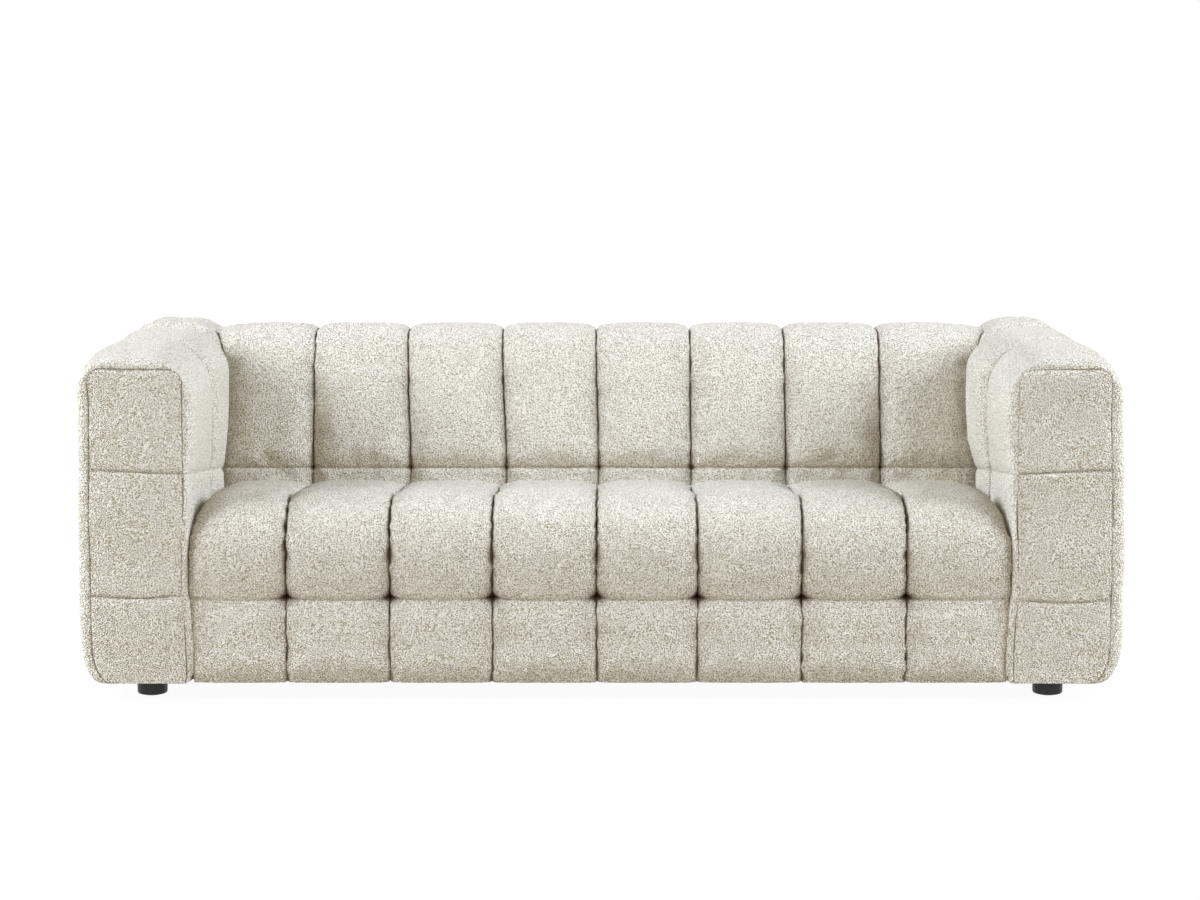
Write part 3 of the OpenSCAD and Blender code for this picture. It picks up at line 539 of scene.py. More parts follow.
def pucker(points, distance, places, depth, reach, length, seed):
    """Gathers across a seam: short ridges that fade away from it."""
    steps = np.linalg.norm(np.diff(points, axis=0), axis=2).mean(axis=1)
    along = np.concatenate([[0], np.cumsum(steps)])
    ridges = np.zeros(points.shape[:2])
    for c, near in enumerate(places):
        fade = math.exp(-distance[c] / reach)
        if fade > 0.02:
            ridges[:, c] = [fade * noise.noise(Vector((s / length, near * 3.7, seed))) for s in along]
    return points + outward(points) * (ridges * depth)[:, :, None]


def paint_seam_shade(bm, seam_shade):
    """Writes how close each point lies to a seam, for the boucle to paint shade there."""
    layer = bm.verts.layers.float.new("seam")
    for v, painted_shade in zip(bm.verts, seam_shade):
        v[layer] = min(1, painted_shade)


def close_quilt(points, lining, seam_shade):
    """A closed piece: the quilted face, its lining and an end on both sides."""
    rows, columns = points.shape[:2]
    backs = np.repeat(np.array([(0, d + front_y, z) for d, z in lining])[:, None], columns, axis=1)
    backs[:, :, 0] = points[-1, :, 0]
    whole = np.concatenate([points, backs])
    count = len(whole)
    bm = bmesh.new()
    verts = [bm.verts.new(p) for p in whole.reshape(-1, 3)]
    for r in range(count):
        for c in range(columns - 1):
            a, b = r * columns + c, (r + 1) % count * columns + c
            bm.faces.new((verts[a], verts[a + 1], verts[b + 1], verts[b]))
    for c in (0, columns - 1):
        ring = [verts[r * columns + c] for r in range(count)]
        edges = [bm.edges.get((ring[k], ring[(k + 1) % count])) for k in range(count)]
        bmesh.ops.triangle_fill(bm, edges=edges, use_beauty=True)
    paint_seam_shade(bm, seam_shade.ravel().tolist() + [0] * (len(bm.verts) - seam_shade.size))
    return bm


def by_shares(shares, low, high, depth):
    """Rows of three points, crown, seam and end, from shares of a depth and of a height."""
    return [[(s[k] * depth, mix(low, high, s[3])) for k in range(3)] for s in shares]


seat_rows = by_shares([(0.22, 0.35, 0.35, 0), (0.08, 0.3, 0.3, 0.08), (0.05, 0.28, 0.28, 0.5),
                       (0.1, 0.33, 0.3, 0.88), (0.14, 0.53, 0.36, 0.975), (0.17, 0.66, 0.42, 1)],
                      hem_z, front_seam_z, padding)
seat_rows += by_shares([(0.11, 0.54, 0.36, 0.033), (0.05, 0.43, 0.34, 0.13), (0, 0.43, 0.38, 0.32),
                        (0.03, 0.52, 0.48, 0.57)], front_seam_z, seat_high.z, padding)
seat_rows += [[(s[k] * cross_seam_d, core_top + s[k + 1] * quilt_height) for k in (0, 2, 4)] for s in (
    (0.062, 0.53, 0.13, 0.31, 0.11, 0.03), (0.2, 0.85, 0.24, 0.6, 0.21, 0.22),
    (0.4, 1, 0.42, 0.75, 0.42, 0.33), (0.67, 0.93, 0.67, 0.68, 0.67, 0.37),
    (0.9, 0.7, 0.9, 0.46, 0.9, 0.33), (1, 0.52, 1, 0.34, 1, 0.27))]
seat_rows += [[(mix(cross_seam_d, seat_end, s[0]), core_top + up * quilt_height) for up in s[1:]] for s in (
    (0.1, 0.66, 0.4, 0.3), (0.44, 0.7, 0.5, 0.36), (0.85, 0.53, 0.38, 0.3), (1, 0.42, 0.32, 0.26))]
seat_breaks = (0, 5, 15, 19)
seat_half = seat_high.x
seat_wander = (0, -0.01, -0.009, -0.01, -0.007, -0.012, -0.009, -0.006, 0)
press = 0.007
press_z = 0.27
press_height = 0.11
press_depth = 0.05
front_sag = 0.0065
front_sag_height = 0.045


def pressed_out(d, z):
    """How far the end channels press the front edges of the arms outwards."""
    return press * np.exp(-((z - press_z) / press_height) ** 2) * np.exp(-(d / press_depth) ** 2)


def seat_points(lines, columns):
    points = lay_quilt(lines, columns, seat_half, seat_wander)
    across = np.abs(np.sin(math.pi * np.asarray(columns))) ** 0.42
    sag = front_sag * np.exp(-((lines[:, 0, 1] - front_seam_z) / front_sag_height) ** 2)
    sag[lines[:, 0, 0] > padding] = 0
    points[:, :, 2] -= sag[:, None] * across[None, :]
    at_end = np.clip((np.abs(points[:, :, 0]) - seat_half + pitch) / pitch, 0, 1)
    further = at_end * pressed_out(points[:, :, 1] - front_y, points[:, :, 2])
    points[:, :, 0] += np.sign(points[:, :, 0]) * further
    return points


def crease(points, distance, depth, width):
    """Pulls the cover in where it is sewn down, away from the middles of the channels."""
    middles = outward(points[:, ::fine_columns // 2])[:, 1::2].mean(axis=1)[:, None]
    return points - middles * (depth[:, None] * np.exp(-(distance / width) ** 1.3)[None, :])[:, :, None]


def shade_falloff(distance, width):
    return np.exp(-(distance / width) ** 2)


stitch_width = 0.0016
seam_shade_band_width = 0.008


def seam_shade_at(distance):
    """Painted shade along a seam: a dark line in its groove, in a fainter band of painted shade beside it."""
    return 0.75 * shade_falloff(distance, stitch_width) + 0.1 * shade_falloff(distance, seam_shade_band_width)


def tuft(points, centre, depth, reach, direction):
    """Draws the cover in round a button tie."""
    away = np.linalg.norm(points - centre, axis=2)
    return points + (depth * np.exp(-(away / reach) ** 1.5))[:, :, None] * np.array(direction)


def tie_down(quilt, seam_shade, seam, direction, flatly, pulls, shades):
    """Ties the quilt down where a cross seam meets the seams of the channels, and paints shade round the tie.
    """
    for c in range(fine_columns, quilt.shape[1] - 1, fine_columns):
        centre = quilt[seam, c].copy()
        quilt = tuft(quilt, centre, *pulls[0], direction)
        away = np.linalg.norm((quilt - quilt[seam, c]) * flatly, axis=2)
        seam_shade = np.maximum(seam_shade, sum(shade * shade_falloff(away, reach) for shade, reach in shades))
        quilt = tuft(quilt, centre, *pulls[1], direction)
    return quilt, seam_shade


def column_places(per_channel, share):
    across = crowd(0, 1, per_channel, share)
    return np.append(np.concatenate([i + across[:-1] for i in range(channel_count)]), channel_count)


def seam_distance(columns):
    nearest = np.round(columns)
    return np.abs(columns - nearest) * pitch, nearest + 0.5 * np.sign(columns - nearest)


coarse_across = column_places(coarse_columns, 0)
columns = column_places(fine_columns, 0.85)


def filled_quilt(rows, breaks, lay, share, weigh, slack, pressure, furthest):
    """A quilt laid out in fine lines and swollen as much as a coarse one of cloth is."""
    coarse_lines, coarse_places, coarse_seams = read_rows(rows, breaks, coarse_spacing, 0)
    coarse = lay(coarse_lines, coarse_across)
    held = np.zeros(coarse.shape[:2], bool)
    held[coarse_seams] = True
    held[:, ::coarse_columns] = True
    swelling = fill_cloth(coarse, held, slack, pressure, furthest) * weigh(coarse_places)
    lines, places, seams = read_rows(rows, breaks, fine_spacing, share)
    quilt = lay(lines, columns) + carry_over(swelling, coarse_places, coarse_across, places, columns)
    return lines, seams, quilt


def seat_swell(places):
    """The filling is held back under the front, round the front seam and at the rear."""
    firmly = np.where(places < 1, 0.5, np.where(places > 2.25, 0.35, 0.65))
    return (firmly * (1 - 0.7 * np.exp(-((places - 1) / 0.12) ** 2)))[:, None, None]


lines, seams, quilt = filled_quilt(seat_rows, seat_breaks, seat_points, 0.75, seat_swell, slack=0.03,
                                   pressure=4, furthest=0.009)
distance, nearest = seam_distance(columns)
inner = np.where(np.abs(columns - channel_count / 2) > channel_count / 2 - 0.5, 1, distance)
along = lengths_along(lines[:, 0])
face = lines[:, 0, 1] < core_top
firmness = np.where((lines[:, 0, 1] < front_seam_z) | (along > along[seams[2]]), 0.7, 1)
quilt = crease(quilt, inner, depth=0.0065 * firmness, width=stitch_width)
quilt = pucker(quilt, distance, nearest, depth=0.0055, reach=0.015, length=0.024, seed=1.0)
quilt = pucker(quilt, distance, nearest, depth=0.003, reach=0.0045, length=0.011, seed=1.5)
front_seam = np.abs(along - along[seams[1]])
cross_seam = np.abs(along - along[seams[2]])
tuft_reach = 0.028
by_tuft = 0.12 + 0.88 * np.exp(-inner / tuft_reach)
cross_draw = 0.006
quilt[:, :, 1] += cross_draw * np.exp(-(front_seam / 0.0028) ** 1.3)[:, None] * by_tuft[None, :]
quilt[:, :, 2] -= (cross_draw * np.exp(-(cross_seam / 0.003) ** 1.3))[:, None]
# Painted shade along the channel seams, the front and cross seams and round the tufts of the seat.
seam_shade = seam_shade_at(inner)[None, :] * firmness[:, None]
seam_shade = np.maximum(seam_shade, seam_shade_at(front_seam)[:, None] * (0.75 * by_tuft)[None, :])
seam_shade = np.maximum(seam_shade, 0.6 * seam_shade_at(cross_seam)[:, None])
seat_shades = ((1.15, 0.0105), (0.25, 0.024))
quilt, seam_shade = tie_down(quilt, seam_shade, seams[1], (0, 1, 0), (0.75, 0.15, 1.15),
                        ((0.0105, 0.026), (0.015, 0.012)), seat_shades)
quilt, seam_shade = tie_down(quilt, seam_shade, seams[2], (0, 0, -1), (1, 1, 0.5),
                        ((0.0063, 0.026), (0.009, 0.012)), seat_shades)
quilt = nap(quilt, 1)
room = 0.0015
quilt[face, :, 1] = np.minimum(quilt[face, :, 1], front_y + padding - room)
quilt[~face, :, 2] = np.maximum(quilt[~face, :, 2], core_top + room)
seat_lining = [(seat_end, core_top + clearance), (padding - clearance, core_top + clearance),
               (padding - clearance, hem_z)]
add_piece("seat_upholstery", close_quilt(quilt, seat_lining, seam_shade), boucle, "boucle",
                    "seat_cover")


# Back cover. The same quilted boucle rises in eight channels from behind the seat, leans back, turns
# over the top and is stapled down the outside. A tufted seam crosses it just over the seat.
top_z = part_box("back_cover")[1].z
foot_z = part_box("back_cover")[0].z
back_seam_z = 0.419
seat_depth = seat_end + clearance
rake_deg = 16
rake = math.tan(math.radians(rake_deg))
back_padding = 0.03
top_padding = 0.035
frame_top = top_z - top_padding
skin_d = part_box("outside_back_cover")[0].y - front_y
flap_thick = 0.0077
flap_d = skin_d - flap_thick
flap_height = 0.06


def face_d(z):
    """Distance of the leaning face of the back from the front of the sofa, at a height."""
    return seat_depth + np.maximum(0, z - back_seam_z) * rake


back_rows = []
for low, high, shares in (
        (foot_z, back_seam_z, ((0, 0, 0.3), (0.85, 0, 0.45), (0.97, 0.04, 0.6), (1, 0.14, 0.68))),
        (back_seam_z, top_z, ((0.02, 0.04, 0.6), (0.07, -0.17, 0.5), (0.25, -0.3, 0.45),
                              (0.5, -0.33, 0.42), (0.7, -0.27, 0.4), (0.84, -0.03, 0.45)))):
    for share, crown, seam in shares:
        z = mix(low, high, share)
        back_rows.append([(face_d(z) + s * back_padding, z) for s in (crown, seam, seam)])
top_d = face_d(top_z)
for s in ((0.02, 0.46, 0.07, 0.14), (0.16, 0.88, 0.2, 0.49), (0.38, 1, 0.4, 0.58),
          (0.67, 0.95, 0.66, 0.52), (0.88, 0.58, 0.86, 0.22)):
    back_rows.append([(mix(top_d, skin_d, s[k]), frame_top + s[k + 1] * top_padding) for k in (0, 2, 2)])
for share, crown, seam in ((0, 0.6, 0.2), (0.5, 1, 0.6), (1, 1, 1)):
    z = frame_top - share * flap_height
    back_rows.append([(mix(flap_d, skin_d, s), z) for s in (crown, seam, seam)])
back_breaks = (0, 3, 17)
back_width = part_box("back_cover")[1].x
back_drift = (-0.003, -0.009, -0.011, -0.009, -0.009, -0.009, -0.008, -0.006, 0.003)
tuft_drift = (0, 0, 0.01, 0.011, 0.006, 0.001, 0.001, 0, 0)
corner_rise = 0.013
corner_round = 0.09
panel_inset = 0.031
edge_round = 0.045


def room_beside(d, z):
    """How far the round shoulder of a corner cover stands off the end of the back."""
    below = np.clip(top_z + corner_rise - z, 0, corner_round)
    shoulder = corner_round - np.sqrt(corner_round ** 2 - (corner_round - below) ** 2)
    behind = np.clip((d - skin_d + edge_round) / edge_round, 0, 1)
    above = np.clip((z - frame_top + 0.02) / 0.02, 0, 1) * np.clip((d - top_d) / 0.05, 0.7, 1)
    return above * (shoulder + panel_inset * (1 - np.sqrt(1 - behind ** 2)))


def back_points(lines, columns):
    points = lay_quilt(lines, columns, back_width, back_drift)
    at_end = np.clip((np.abs(points[:, :, 0]) - back_width) / (0.3 * pitch) + 1, 0, 1) ** 2
    beside = room_beside(lines[:, 2, 0], lines[:, 2, 1])[:, None]
    points[:, :, 0] += np.sign(points[:, :, 0]) * at_end * beside
    low = np.exp(-((lines[:, 0, 1] - back_seam_z) / 0.16) ** 2)
    points[:, :, 0] += low[:, None] * np.interp(columns, np.arange(channel_count + 1), tuft_drift)[None, :]
    return points


def evenly(places):
    return 1


lines, seams, quilt = filled_quilt(back_rows, back_breaks, back_points, 0.6, evenly, slack=0.02,
                                   pressure=3, furthest=0.006)
along = lengths_along(lines[:, 0])
firmness = np.where(lines[:, 0, 1] < back_seam_z, 0.5, 1)
quilt = crease(quilt, inner, depth=0.003 * firmness, width=0.0015)
quilt = pucker(quilt, distance, nearest, depth=0.003, reach=0.014, length=0.026, seed=2.0)
quilt = pucker(quilt, distance, nearest, depth=0.003, reach=0.0045, length=0.011, seed=2.5)
back_seam = np.abs(along - along[seams[1]])
quilt[:, :, 1] += (0.0025 * np.exp(-(back_seam / 0.0025) ** 1.3))[:, None]
# Painted shade along the channel seams, the cross seam and round the tufts of the back.
seam_shade = np.maximum(seam_shade_at(inner)[None, :] * (0.75 * firmness)[:, None],
                   0.2 * seam_shade_at(back_seam)[:, None])
quilt, seam_shade = tie_down(quilt, seam_shade, seams[1], (0, 1, 0), (1, 0.15, 1),
                        ((0.005, 0.02), (0.008, 0.008)), ((0.85, 0.0055), (0.15, 0.015)))
quilt = nap(quilt, 2)
behind = front_y + face_d(quilt[:, :, 2]) + back_padding - room
leaning_part = lines[:, 0, 0] < face_d(frame_top)
quilt[leaning_part, :, 1] = np.minimum(quilt[leaning_part, :, 1], behind[leaning_part])
over = ~leaning_part & (lines[:, 0, 1] > frame_top)
quilt[over, :, 2] = np.maximum(quilt[over, :, 2], frame_top + room)
back_lining = [(flap_d, frame_top - flap_height), (flap_d, frame_top),
               (face_d(frame_top) + back_padding, frame_top),
               (seat_depth + back_padding, back_seam_z), (seat_depth + back_padding, foot_z)]
add_piece("back_upholstery", close_quilt(quilt, back_lining, seam_shade), boucle, "boucle",
                    "back_cover")


# Arm covers. Each wraps one arm in padded boucle. A front panel with two seams is set into the
# wrap, a cross seam runs round it, and the hem is stapled under the base rails.
half_width = cad_high.x
arm_width = 0.238
arm_round = 0.1
arm_swell = 0.01
arm_seam_d = 0.38
panel_seam_z = 0.489
panel_round = 0.025
inner_share = 0.45
arm_padding = 0.028
outer_hem = 0.042
outer_hem_high = 0.084
inner_hem = 0.0056
inner_hem_high = 0.0168
sink = 0.013
seam_spread = 0.03
seam_groove = 0.005
wrap_swell = 0.009
hem_rows = 8
low_rows, middle_rows, high_rows, round_rows = 26, 46, 26, 26
across_top = 30
broad_lengths = (0.12, 0.14, 0.12)
broad_height = 0.004
gather_lengths = (0.026, 0.2, 0.026)
panel_dish = 0.0025
panel_edge_in = 0.0035
panel_groove = 0.0045
belly_top = 0.6
belly_fade = 0.2


def side_line(inset, round_r, top, seam_z, bulge, hem, hem_high, groove):
    """One side of a section from its hem up over its round top, as distance inwards and height."""
    def swell(z):
        return bulge * np.maximum(0, np.sin(math.pi * (z - seam_z) / (top - seam_z)))

    turn = np.linspace(-math.pi / 2, -math.pi, hem_rows + 1)[:-1]
    low = np.stack([inset + hem * (1 + np.cos(turn)), hem_z + hem_high * (1 + np.sin(turn))], axis=1)
    z = np.concatenate([crowd(hem_z + hem_high, front_seam_z, low_rows, 0.6)[:-1],
                        crowd(front_seam_z, seam_z, middle_rows, 0.8)[:-1],
                        crowd(seam_z, top - round_r, high_rows, 0.6)[:-1]])
    drawn = groove * np.exp(-(np.abs(z - seam_z) / 0.006) ** 1.2)
    upright = np.stack([inset - swell(z) + drawn, z], axis=1)
    turn = np.linspace(math.pi, math.pi / 2, round_rows)
    z = top - round_r * (1 - np.sin(turn))
    over = np.stack([inset + round_r * (1 + np.cos(turn)) + swell(z) * np.cos(turn), z], axis=1)
    return np.concatenate([low, upright, over])


def section_sides(width, top, inset, inner_inset, round_r, seam_z, bulge=0, groove=0,
                  inner_round=None):
    """The inner and the outer side of an arm's section, as points x and z."""
    inner = side_line(inner_inset, inner_round or round_r, top, seam_z, bulge, inner_hem,
                      inner_hem_high, groove)
    outer = side_line(inset, round_r, top, seam_z, 0, outer_hem, outer_hem_high, 0)
    inner[:, 0] += half_width - width
    outer[:, 0] = half_width - outer[:, 0]
    return np.stack([inner, outer])


def ladder(sides, depth_at):
    """A section filled with points from side to side."""
    across = np.linspace(0, 1, across_top + 1)[None, :, None]
    flat = mix(sides[0][:, None], sides[1][:, None], across)
    x, z = flat[:, :, 0], flat[:, :, 1]
    return np.stack([x, depth_at(x, z) + front_y, z], axis=2)


def border(grid):
    return np.concatenate([grid[:, 0], grid[-1, 1:], grid[-2::-1, -1], grid[0, -2:0:-1]])


def solid_of(points, faces):
    mesh = bpy.data.meshes.new("solid")
    mesh.from_pydata(points, [], faces)
    bm = bmesh.new()
    bm.from_mesh(mesh)
    bpy.data.meshes.remove(mesh)
    bmesh.ops.recalc_face_normals(bm, faces=bm.faces)
    return bm


def closed_tube(rings, ends):
    """A tube through the rings, closed with a ladder at both ends."""
    count, around = len(rings), len(rings[0])
    points = [p for ring in rings for p in ring.tolist()]
    faces = [(k * around + j, k * around + (j + 1) % around, (k + 1) * around + (j + 1) % around,
              (k + 1) * around + j) for k in range(count - 1) for j in range(around)]
    for first, end in ((0, ends[0]), ((count - 1) * around, ends[1])):
        rows, columns = end.shape[:2]
        within = np.arange((rows - 2) * (columns - 2)).reshape(rows - 2, columns - 2)
        index = np.zeros((rows, columns), int)
        index[1:-1, 1:-1] = len(points) + within
        points += end[1:-1, 1:-1].reshape(-1, 3).tolist()
        k = np.arange(around) + first
        index[:, 0] = k[:rows]
        index[-1, :] = k[rows - 1:rows - 1 + columns]
        index[:, -1] = k[rows + columns - 2:2 * rows + columns - 2][::-1]
        index[0, 1:-1] = k[2 * rows + columns - 2:][::-1]
        faces += np.stack([index[:-1, :-1], index[:-1, 1:], index[1:, 1:], index[1:, :-1]],
                          axis=2).reshape(-1, 4).tolist()
    return solid_of(points, faces)


def gather(bm, near, lengths, depth, seed):
    """Ridges and hollows of the cover, of a length along each axis, where near says so."""
    bm.normal_update()
    for v in bm.verts:
        weight = near(v.co)
        if weight > 0.02:
            spot = Vector((v.co.x / lengths[0] + seed * seed_step, v.co.y / lengths[1],
                           v.co.z / lengths[2]))
            v.co += v.normal * (depth * weight * noise.noise(spot))


def anywhere(place):
    return 1


def close_by(place, seam_d, width, power=1):
    """1 at a seam that lies so far behind the front, and less away from it."""
    return math.exp(-(abs(place.y - front_y - seam_d) / width) ** power)


def sew_in(bm, near, depth):
    """Draws the cover in along a seam."""
    bm.normal_update()
    for v in bm.verts:
        pull = near(v.co)
        if pull > 0.01:
            v.co -= v.normal * (depth * pull)


def cut_away(bm, cutters):
    """The cover less what the frame fills."""
    def stand_in(name, shape):
        mesh = bpy.data.meshes.new(name)
        shape.to_mesh(mesh)
        shape.free()
        made = bpy.data.objects.new(name, mesh)
        scene.collection.objects.link(made)
        return made

    whole = stand_in("uncut_cover", bm)
    blocks = [stand_in("cutter", cutter) for cutter in cutters]
    for block in blocks:
        cut = whole.modifiers.new("cut", "BOOLEAN")
        cut.operation = "DIFFERENCE"
        cut.solver = "MANIFOLD"
        cut.object = block
    ready = whole.evaluated_get(bpy.context.evaluated_depsgraph_get())
    result = bmesh.new()
    result.from_mesh(ready.data)
    for gone in [whole] + blocks:
        bpy.data.objects.remove(gone)
    return result


def finish_cover(bm, sign, seed, hollow_from, opening_from, last):
    """Gives a cover its broad swells and its curls, mirrors the left one and hollows it."""
    gather(bm, anywhere, broad_lengths, broad_height, seed + 2)
    gather(bm, anywhere, (curl_size, curl_size, curl_size), curl_height, seed + 3)
    for v in bm.verts:
        v.co = (sign * v.co.x, min(v.co.y, skin_d + front_y), max(v.co.z, hem_z))
    bmesh.ops.recalc_face_normals(bm, faces=bm.faces)

    def along_the_arm(x, z, d):
        return sign * x, front_y + d, z

    return cut_away(bm, (extruded(hollow, (hollow_from, last), along_the_arm),
                         extruded(opening, (opening_from, last), along_the_arm)))


arm_in = half_width - arm_width + arm_padding
arm_out = half_width - arm_padding
base_out = half_width - outer_hem - arm_padding / 2
shoulder = arm_round / 2
under = hem_z - 0.01
beside_arm = half_width - arm_width - 0.03
opening_top = 0.3
hollow = [(arm_in, under), (base_out, under), (arm_out, hem_z + outer_hem_high),
          (arm_out, frame_top - shoulder), (arm_out - shoulder, frame_top),
          (arm_in + shoulder, frame_top), (arm_in, frame_top - shoulder)]
opening = [(beside_arm, under), (arm_in + 0.001, under), (arm_in + 0.001, opening_top),
           (beside_arm, opening_top)]
sofa_depth = cad_high.y - cad_low.y


def seam_height(d):
    """The seam on the inner side of an arm falls from the panel's seam to the back's."""
    return mix(panel_seam_z - 0.004, back_seam_z, np.clip(d / seat_depth, 0, 1))


def drawn_in(distance, gentle=2.6):
    """How far a cross seam draws the cover in: gently in front of it and steeply behind it."""
    if distance < 0:
        return max(0, 1 + distance / (gentle * seam_spread)) ** 1.6
    return max(0, 1 - distance / seam_spread) ** 2.05


def panel_seams(across, low_by):
    """Heights of the two seams of a panel, from its inner edge to its outer one."""
    return (panel_seam_z - 0.004 + 0.009 * across,
            front_seam_z + low_by - 0.006 * np.sin(math.pi * np.clip(across, 0, 1)))


def panel_depth(x, z, low_by):
    """The front panel swells between its seams and is drawn in at its edges."""
    inner_edge = half_width - arm_width + panel_inset * inner_share
    outer_edge = half_width - panel_inset
    edge = np.minimum(np.minimum(x - inner_edge, outer_edge - x),
                      np.minimum(top_z - panel_inset - z, z - hem_z + 0.02))
    across = np.clip((x - inner_edge) / (outer_edge - inner_edge), 0, 1)
    depth = panel_edge_in * np.exp(-np.maximum(edge, 0) / 0.006) - panel_dish * np.sin(math.pi * across)
    for seam in panel_seams(across, low_by):
        groove = panel_groove * np.exp(-(np.abs(z - seam) / 0.003) ** 1.1)
        depth = depth + groove * np.minimum(1, edge / 0.01 + 0.4)
    return depth


def bent_rows(grid, low_by):
    """Moves the rows of the panel onto its two seams, which don't run quite level."""
    across = (grid[:, :, 0] - grid[:, :1, 0]) / (grid[:, -1:, 0] - grid[:, :1, 0])
    z = grid[:, :, 2]
    upper, lower = panel_seams(across, low_by)
    high = (upper - panel_seam_z) * np.exp(-((z - panel_seam_z) / 0.05) ** 2)
    low = (lower - front_seam_z) * np.exp(-((z - front_seam_z) / 0.05) ** 2)
    grid[:, :, 2] = z + (high + low) * np.minimum(1, np.minimum(across, 1 - across) * 12)
    return grid


edge_knots = np.array([(0.04, 0), (0.1, 0.03), (0.03, 0.16), (0.1, 0.55), (0.36, 0.85), (1, 1)])
edge_places = np.concatenate([follow(edge_knots[:2], (0, 1), np.array([0, 0.5])),
                              follow(edge_knots[1:], (0, 1, 2, 3, 4), np.linspace(0, 4, 22))])


def level(d):
    return lambda x, z: np.full_like(x, d)


def leaning(first, share):
    return lambda x, z: mix(first, face_d(z) - clearance, share)


def full_shoulder(place, more):
    """Fills the outer shoulder of an arm out by a little more."""
    across = (place.x - half_width + arm_round) / arm_round
    up = (place.z - top_z + arm_round) / arm_round
    if across > 0 and up > 0:
        place.x += 2 * more * across * across * up
        place.z += 2 * more * across * up * up


def arm_cover(sign, seed, belly, more, low_by, inner_belly):
    panel = section_sides(arm_width, top_z - panel_inset, panel_inset, panel_inset * inner_share,
                          panel_round, panel_seam_z)

    def full(d, swollen=0.0, drawn=0.0):
        loose = section_sides(arm_width, top_z + swollen, -swollen, 0, arm_round, seam_height(d),
                              arm_swell, seam_groove)
        tight = section_sides(arm_width, top_z - sink, sink, sink, arm_round - sink, seam_height(d),
                              0, seam_groove)
        return mix(loose, tight, drawn)

    rings = []
    for s, fullness in edge_places:
        d = s * edge_round
        rings.append(border(ladder(mix(panel, full(d), fullness), level(d))))
    for d in crowd(edge_round, arm_seam_d, 68, 0.8)[1:]:
        share = (d - edge_round) / (arm_seam_d - edge_round)
        swollen = wrap_swell * math.sin(math.pi * share ** 0.9) ** 0.7
        rings.append(border(ladder(full(d, swollen, drawn_in(d - arm_seam_d)), level(d))))
    run = seat_depth - arm_seam_d
    for share in crowd(0, 1, 48, 0.8)[1:]:
        drawn = max(drawn_in(share * run), drawn_in((share - 1) * run, 1.7))
        swollen = wrap_swell * max(0, math.sin(math.pi * share)) ** 0.6
        end = ladder(full(arm_seam_d + share * run, swollen, drawn), leaning(arm_seam_d, share))
        rings.append(border(end))
    panel_d = edge_knots[0][0] * edge_round
    front = bent_rows(ladder(panel, level(panel_d)), low_by)
    depth = panel_depth(front[:, :, 0], front[:, :, 2], low_by)
    front[:, :, 1] = front_y + np.where(front[:, :, 2] < hem_z + 0.0001, panel_d, depth)
    bm = closed_tube(rings, (front, end))

    def near_cross(place):
        return close_by(place, arm_seam_d, 0.018) + close_by(place, face_d(place.z), 0.016)

    def near_panel(place):
        if place.y - front_y > 0.03:
            return 0
        return math.exp(-min(abs(place.z - panel_seam_z), abs(place.z - front_seam_z)) / 0.014)

    def at_cross(place):
        return close_by(place, arm_seam_d, 0.0028, 1.5) + close_by(place, face_d(place.z), 0.003, 1.5)

    for v in bm.verts:
        d = v.co.y - front_y
        if v.co.x > half_width - arm_width / 2:
            v.co.x += belly * max(0, min(1, (belly_top - v.co.z) / belly_fade))
            full_shoulder(v.co, more)
        else:
            v.co.x += float(pressed_out(d, v.co.z))
            between = max(0, min(1, (d - arm_seam_d) / (face_d(v.co.z) - arm_seam_d)))
            high = max(0, min(1, (v.co.z - 0.43) / 0.06, (top_z + 0.01 - v.co.z) / 0.07))
            v.co.x -= inner_belly * high * max(0, math.sin(math.pi * between)) ** 0.7
    sew_in(bm, at_cross, 0.003)
    gather(bm, near_cross, gather_lengths, 0.0035, seed)
    gather(bm, near_panel, (0.024, 0.2, 0.2), 0.003, seed + 1)
    bm = finish_cover(bm, sign, seed, arm_padding, padding, sofa_depth)

    # Painted shade along the panel seams and the cross seams, spreading further behind a cross seam as the
    # shade of its groove.
    def painted_shade(place):
        d = place.y - front_y
        across = (abs(place.x) - half_width + arm_width) / arm_width
        to_panel = min(abs(place.z - seam) for seam in panel_seams(across, low_by)) if d < 0.02 else 1
        to_cross = min((d - seam if d > seam else 2 * (seam - d))
                       for seam in (arm_seam_d, face_d(place.z)))
        return 0.3 * float(shade_falloff(to_panel, 0.0018)) + 0.5 * float(shade_falloff(to_cross, 0.006))

    paint_seam_shade(bm, [painted_shade(v.co) for v in bm.verts])
    return bm


right_shape = {"belly": 0.008, "more": 0.001, "low_by": -0.005, "inner_belly": 0.016}
left_shape = {"belly": 0.0045, "more": 0.005, "low_by": 0.005, "inner_belly": 0}
for side, sign, seed, shape in (("right", 1, 11, right_shape), ("left", -1, 31, left_shape)):
    add_piece(side + "_arm_upholstery", arm_cover(sign, seed, **shape), boucle, "boucle",
                        side + "_arm_cover")


# Corner covers. Padded boucle closes each rear corner, from the seam on the back's face round to the
# rear edge. It stands a little higher than the arms, is sewn to their covers and stapled below.
corner_width = half_width - back_half
corner_swell = 0.004


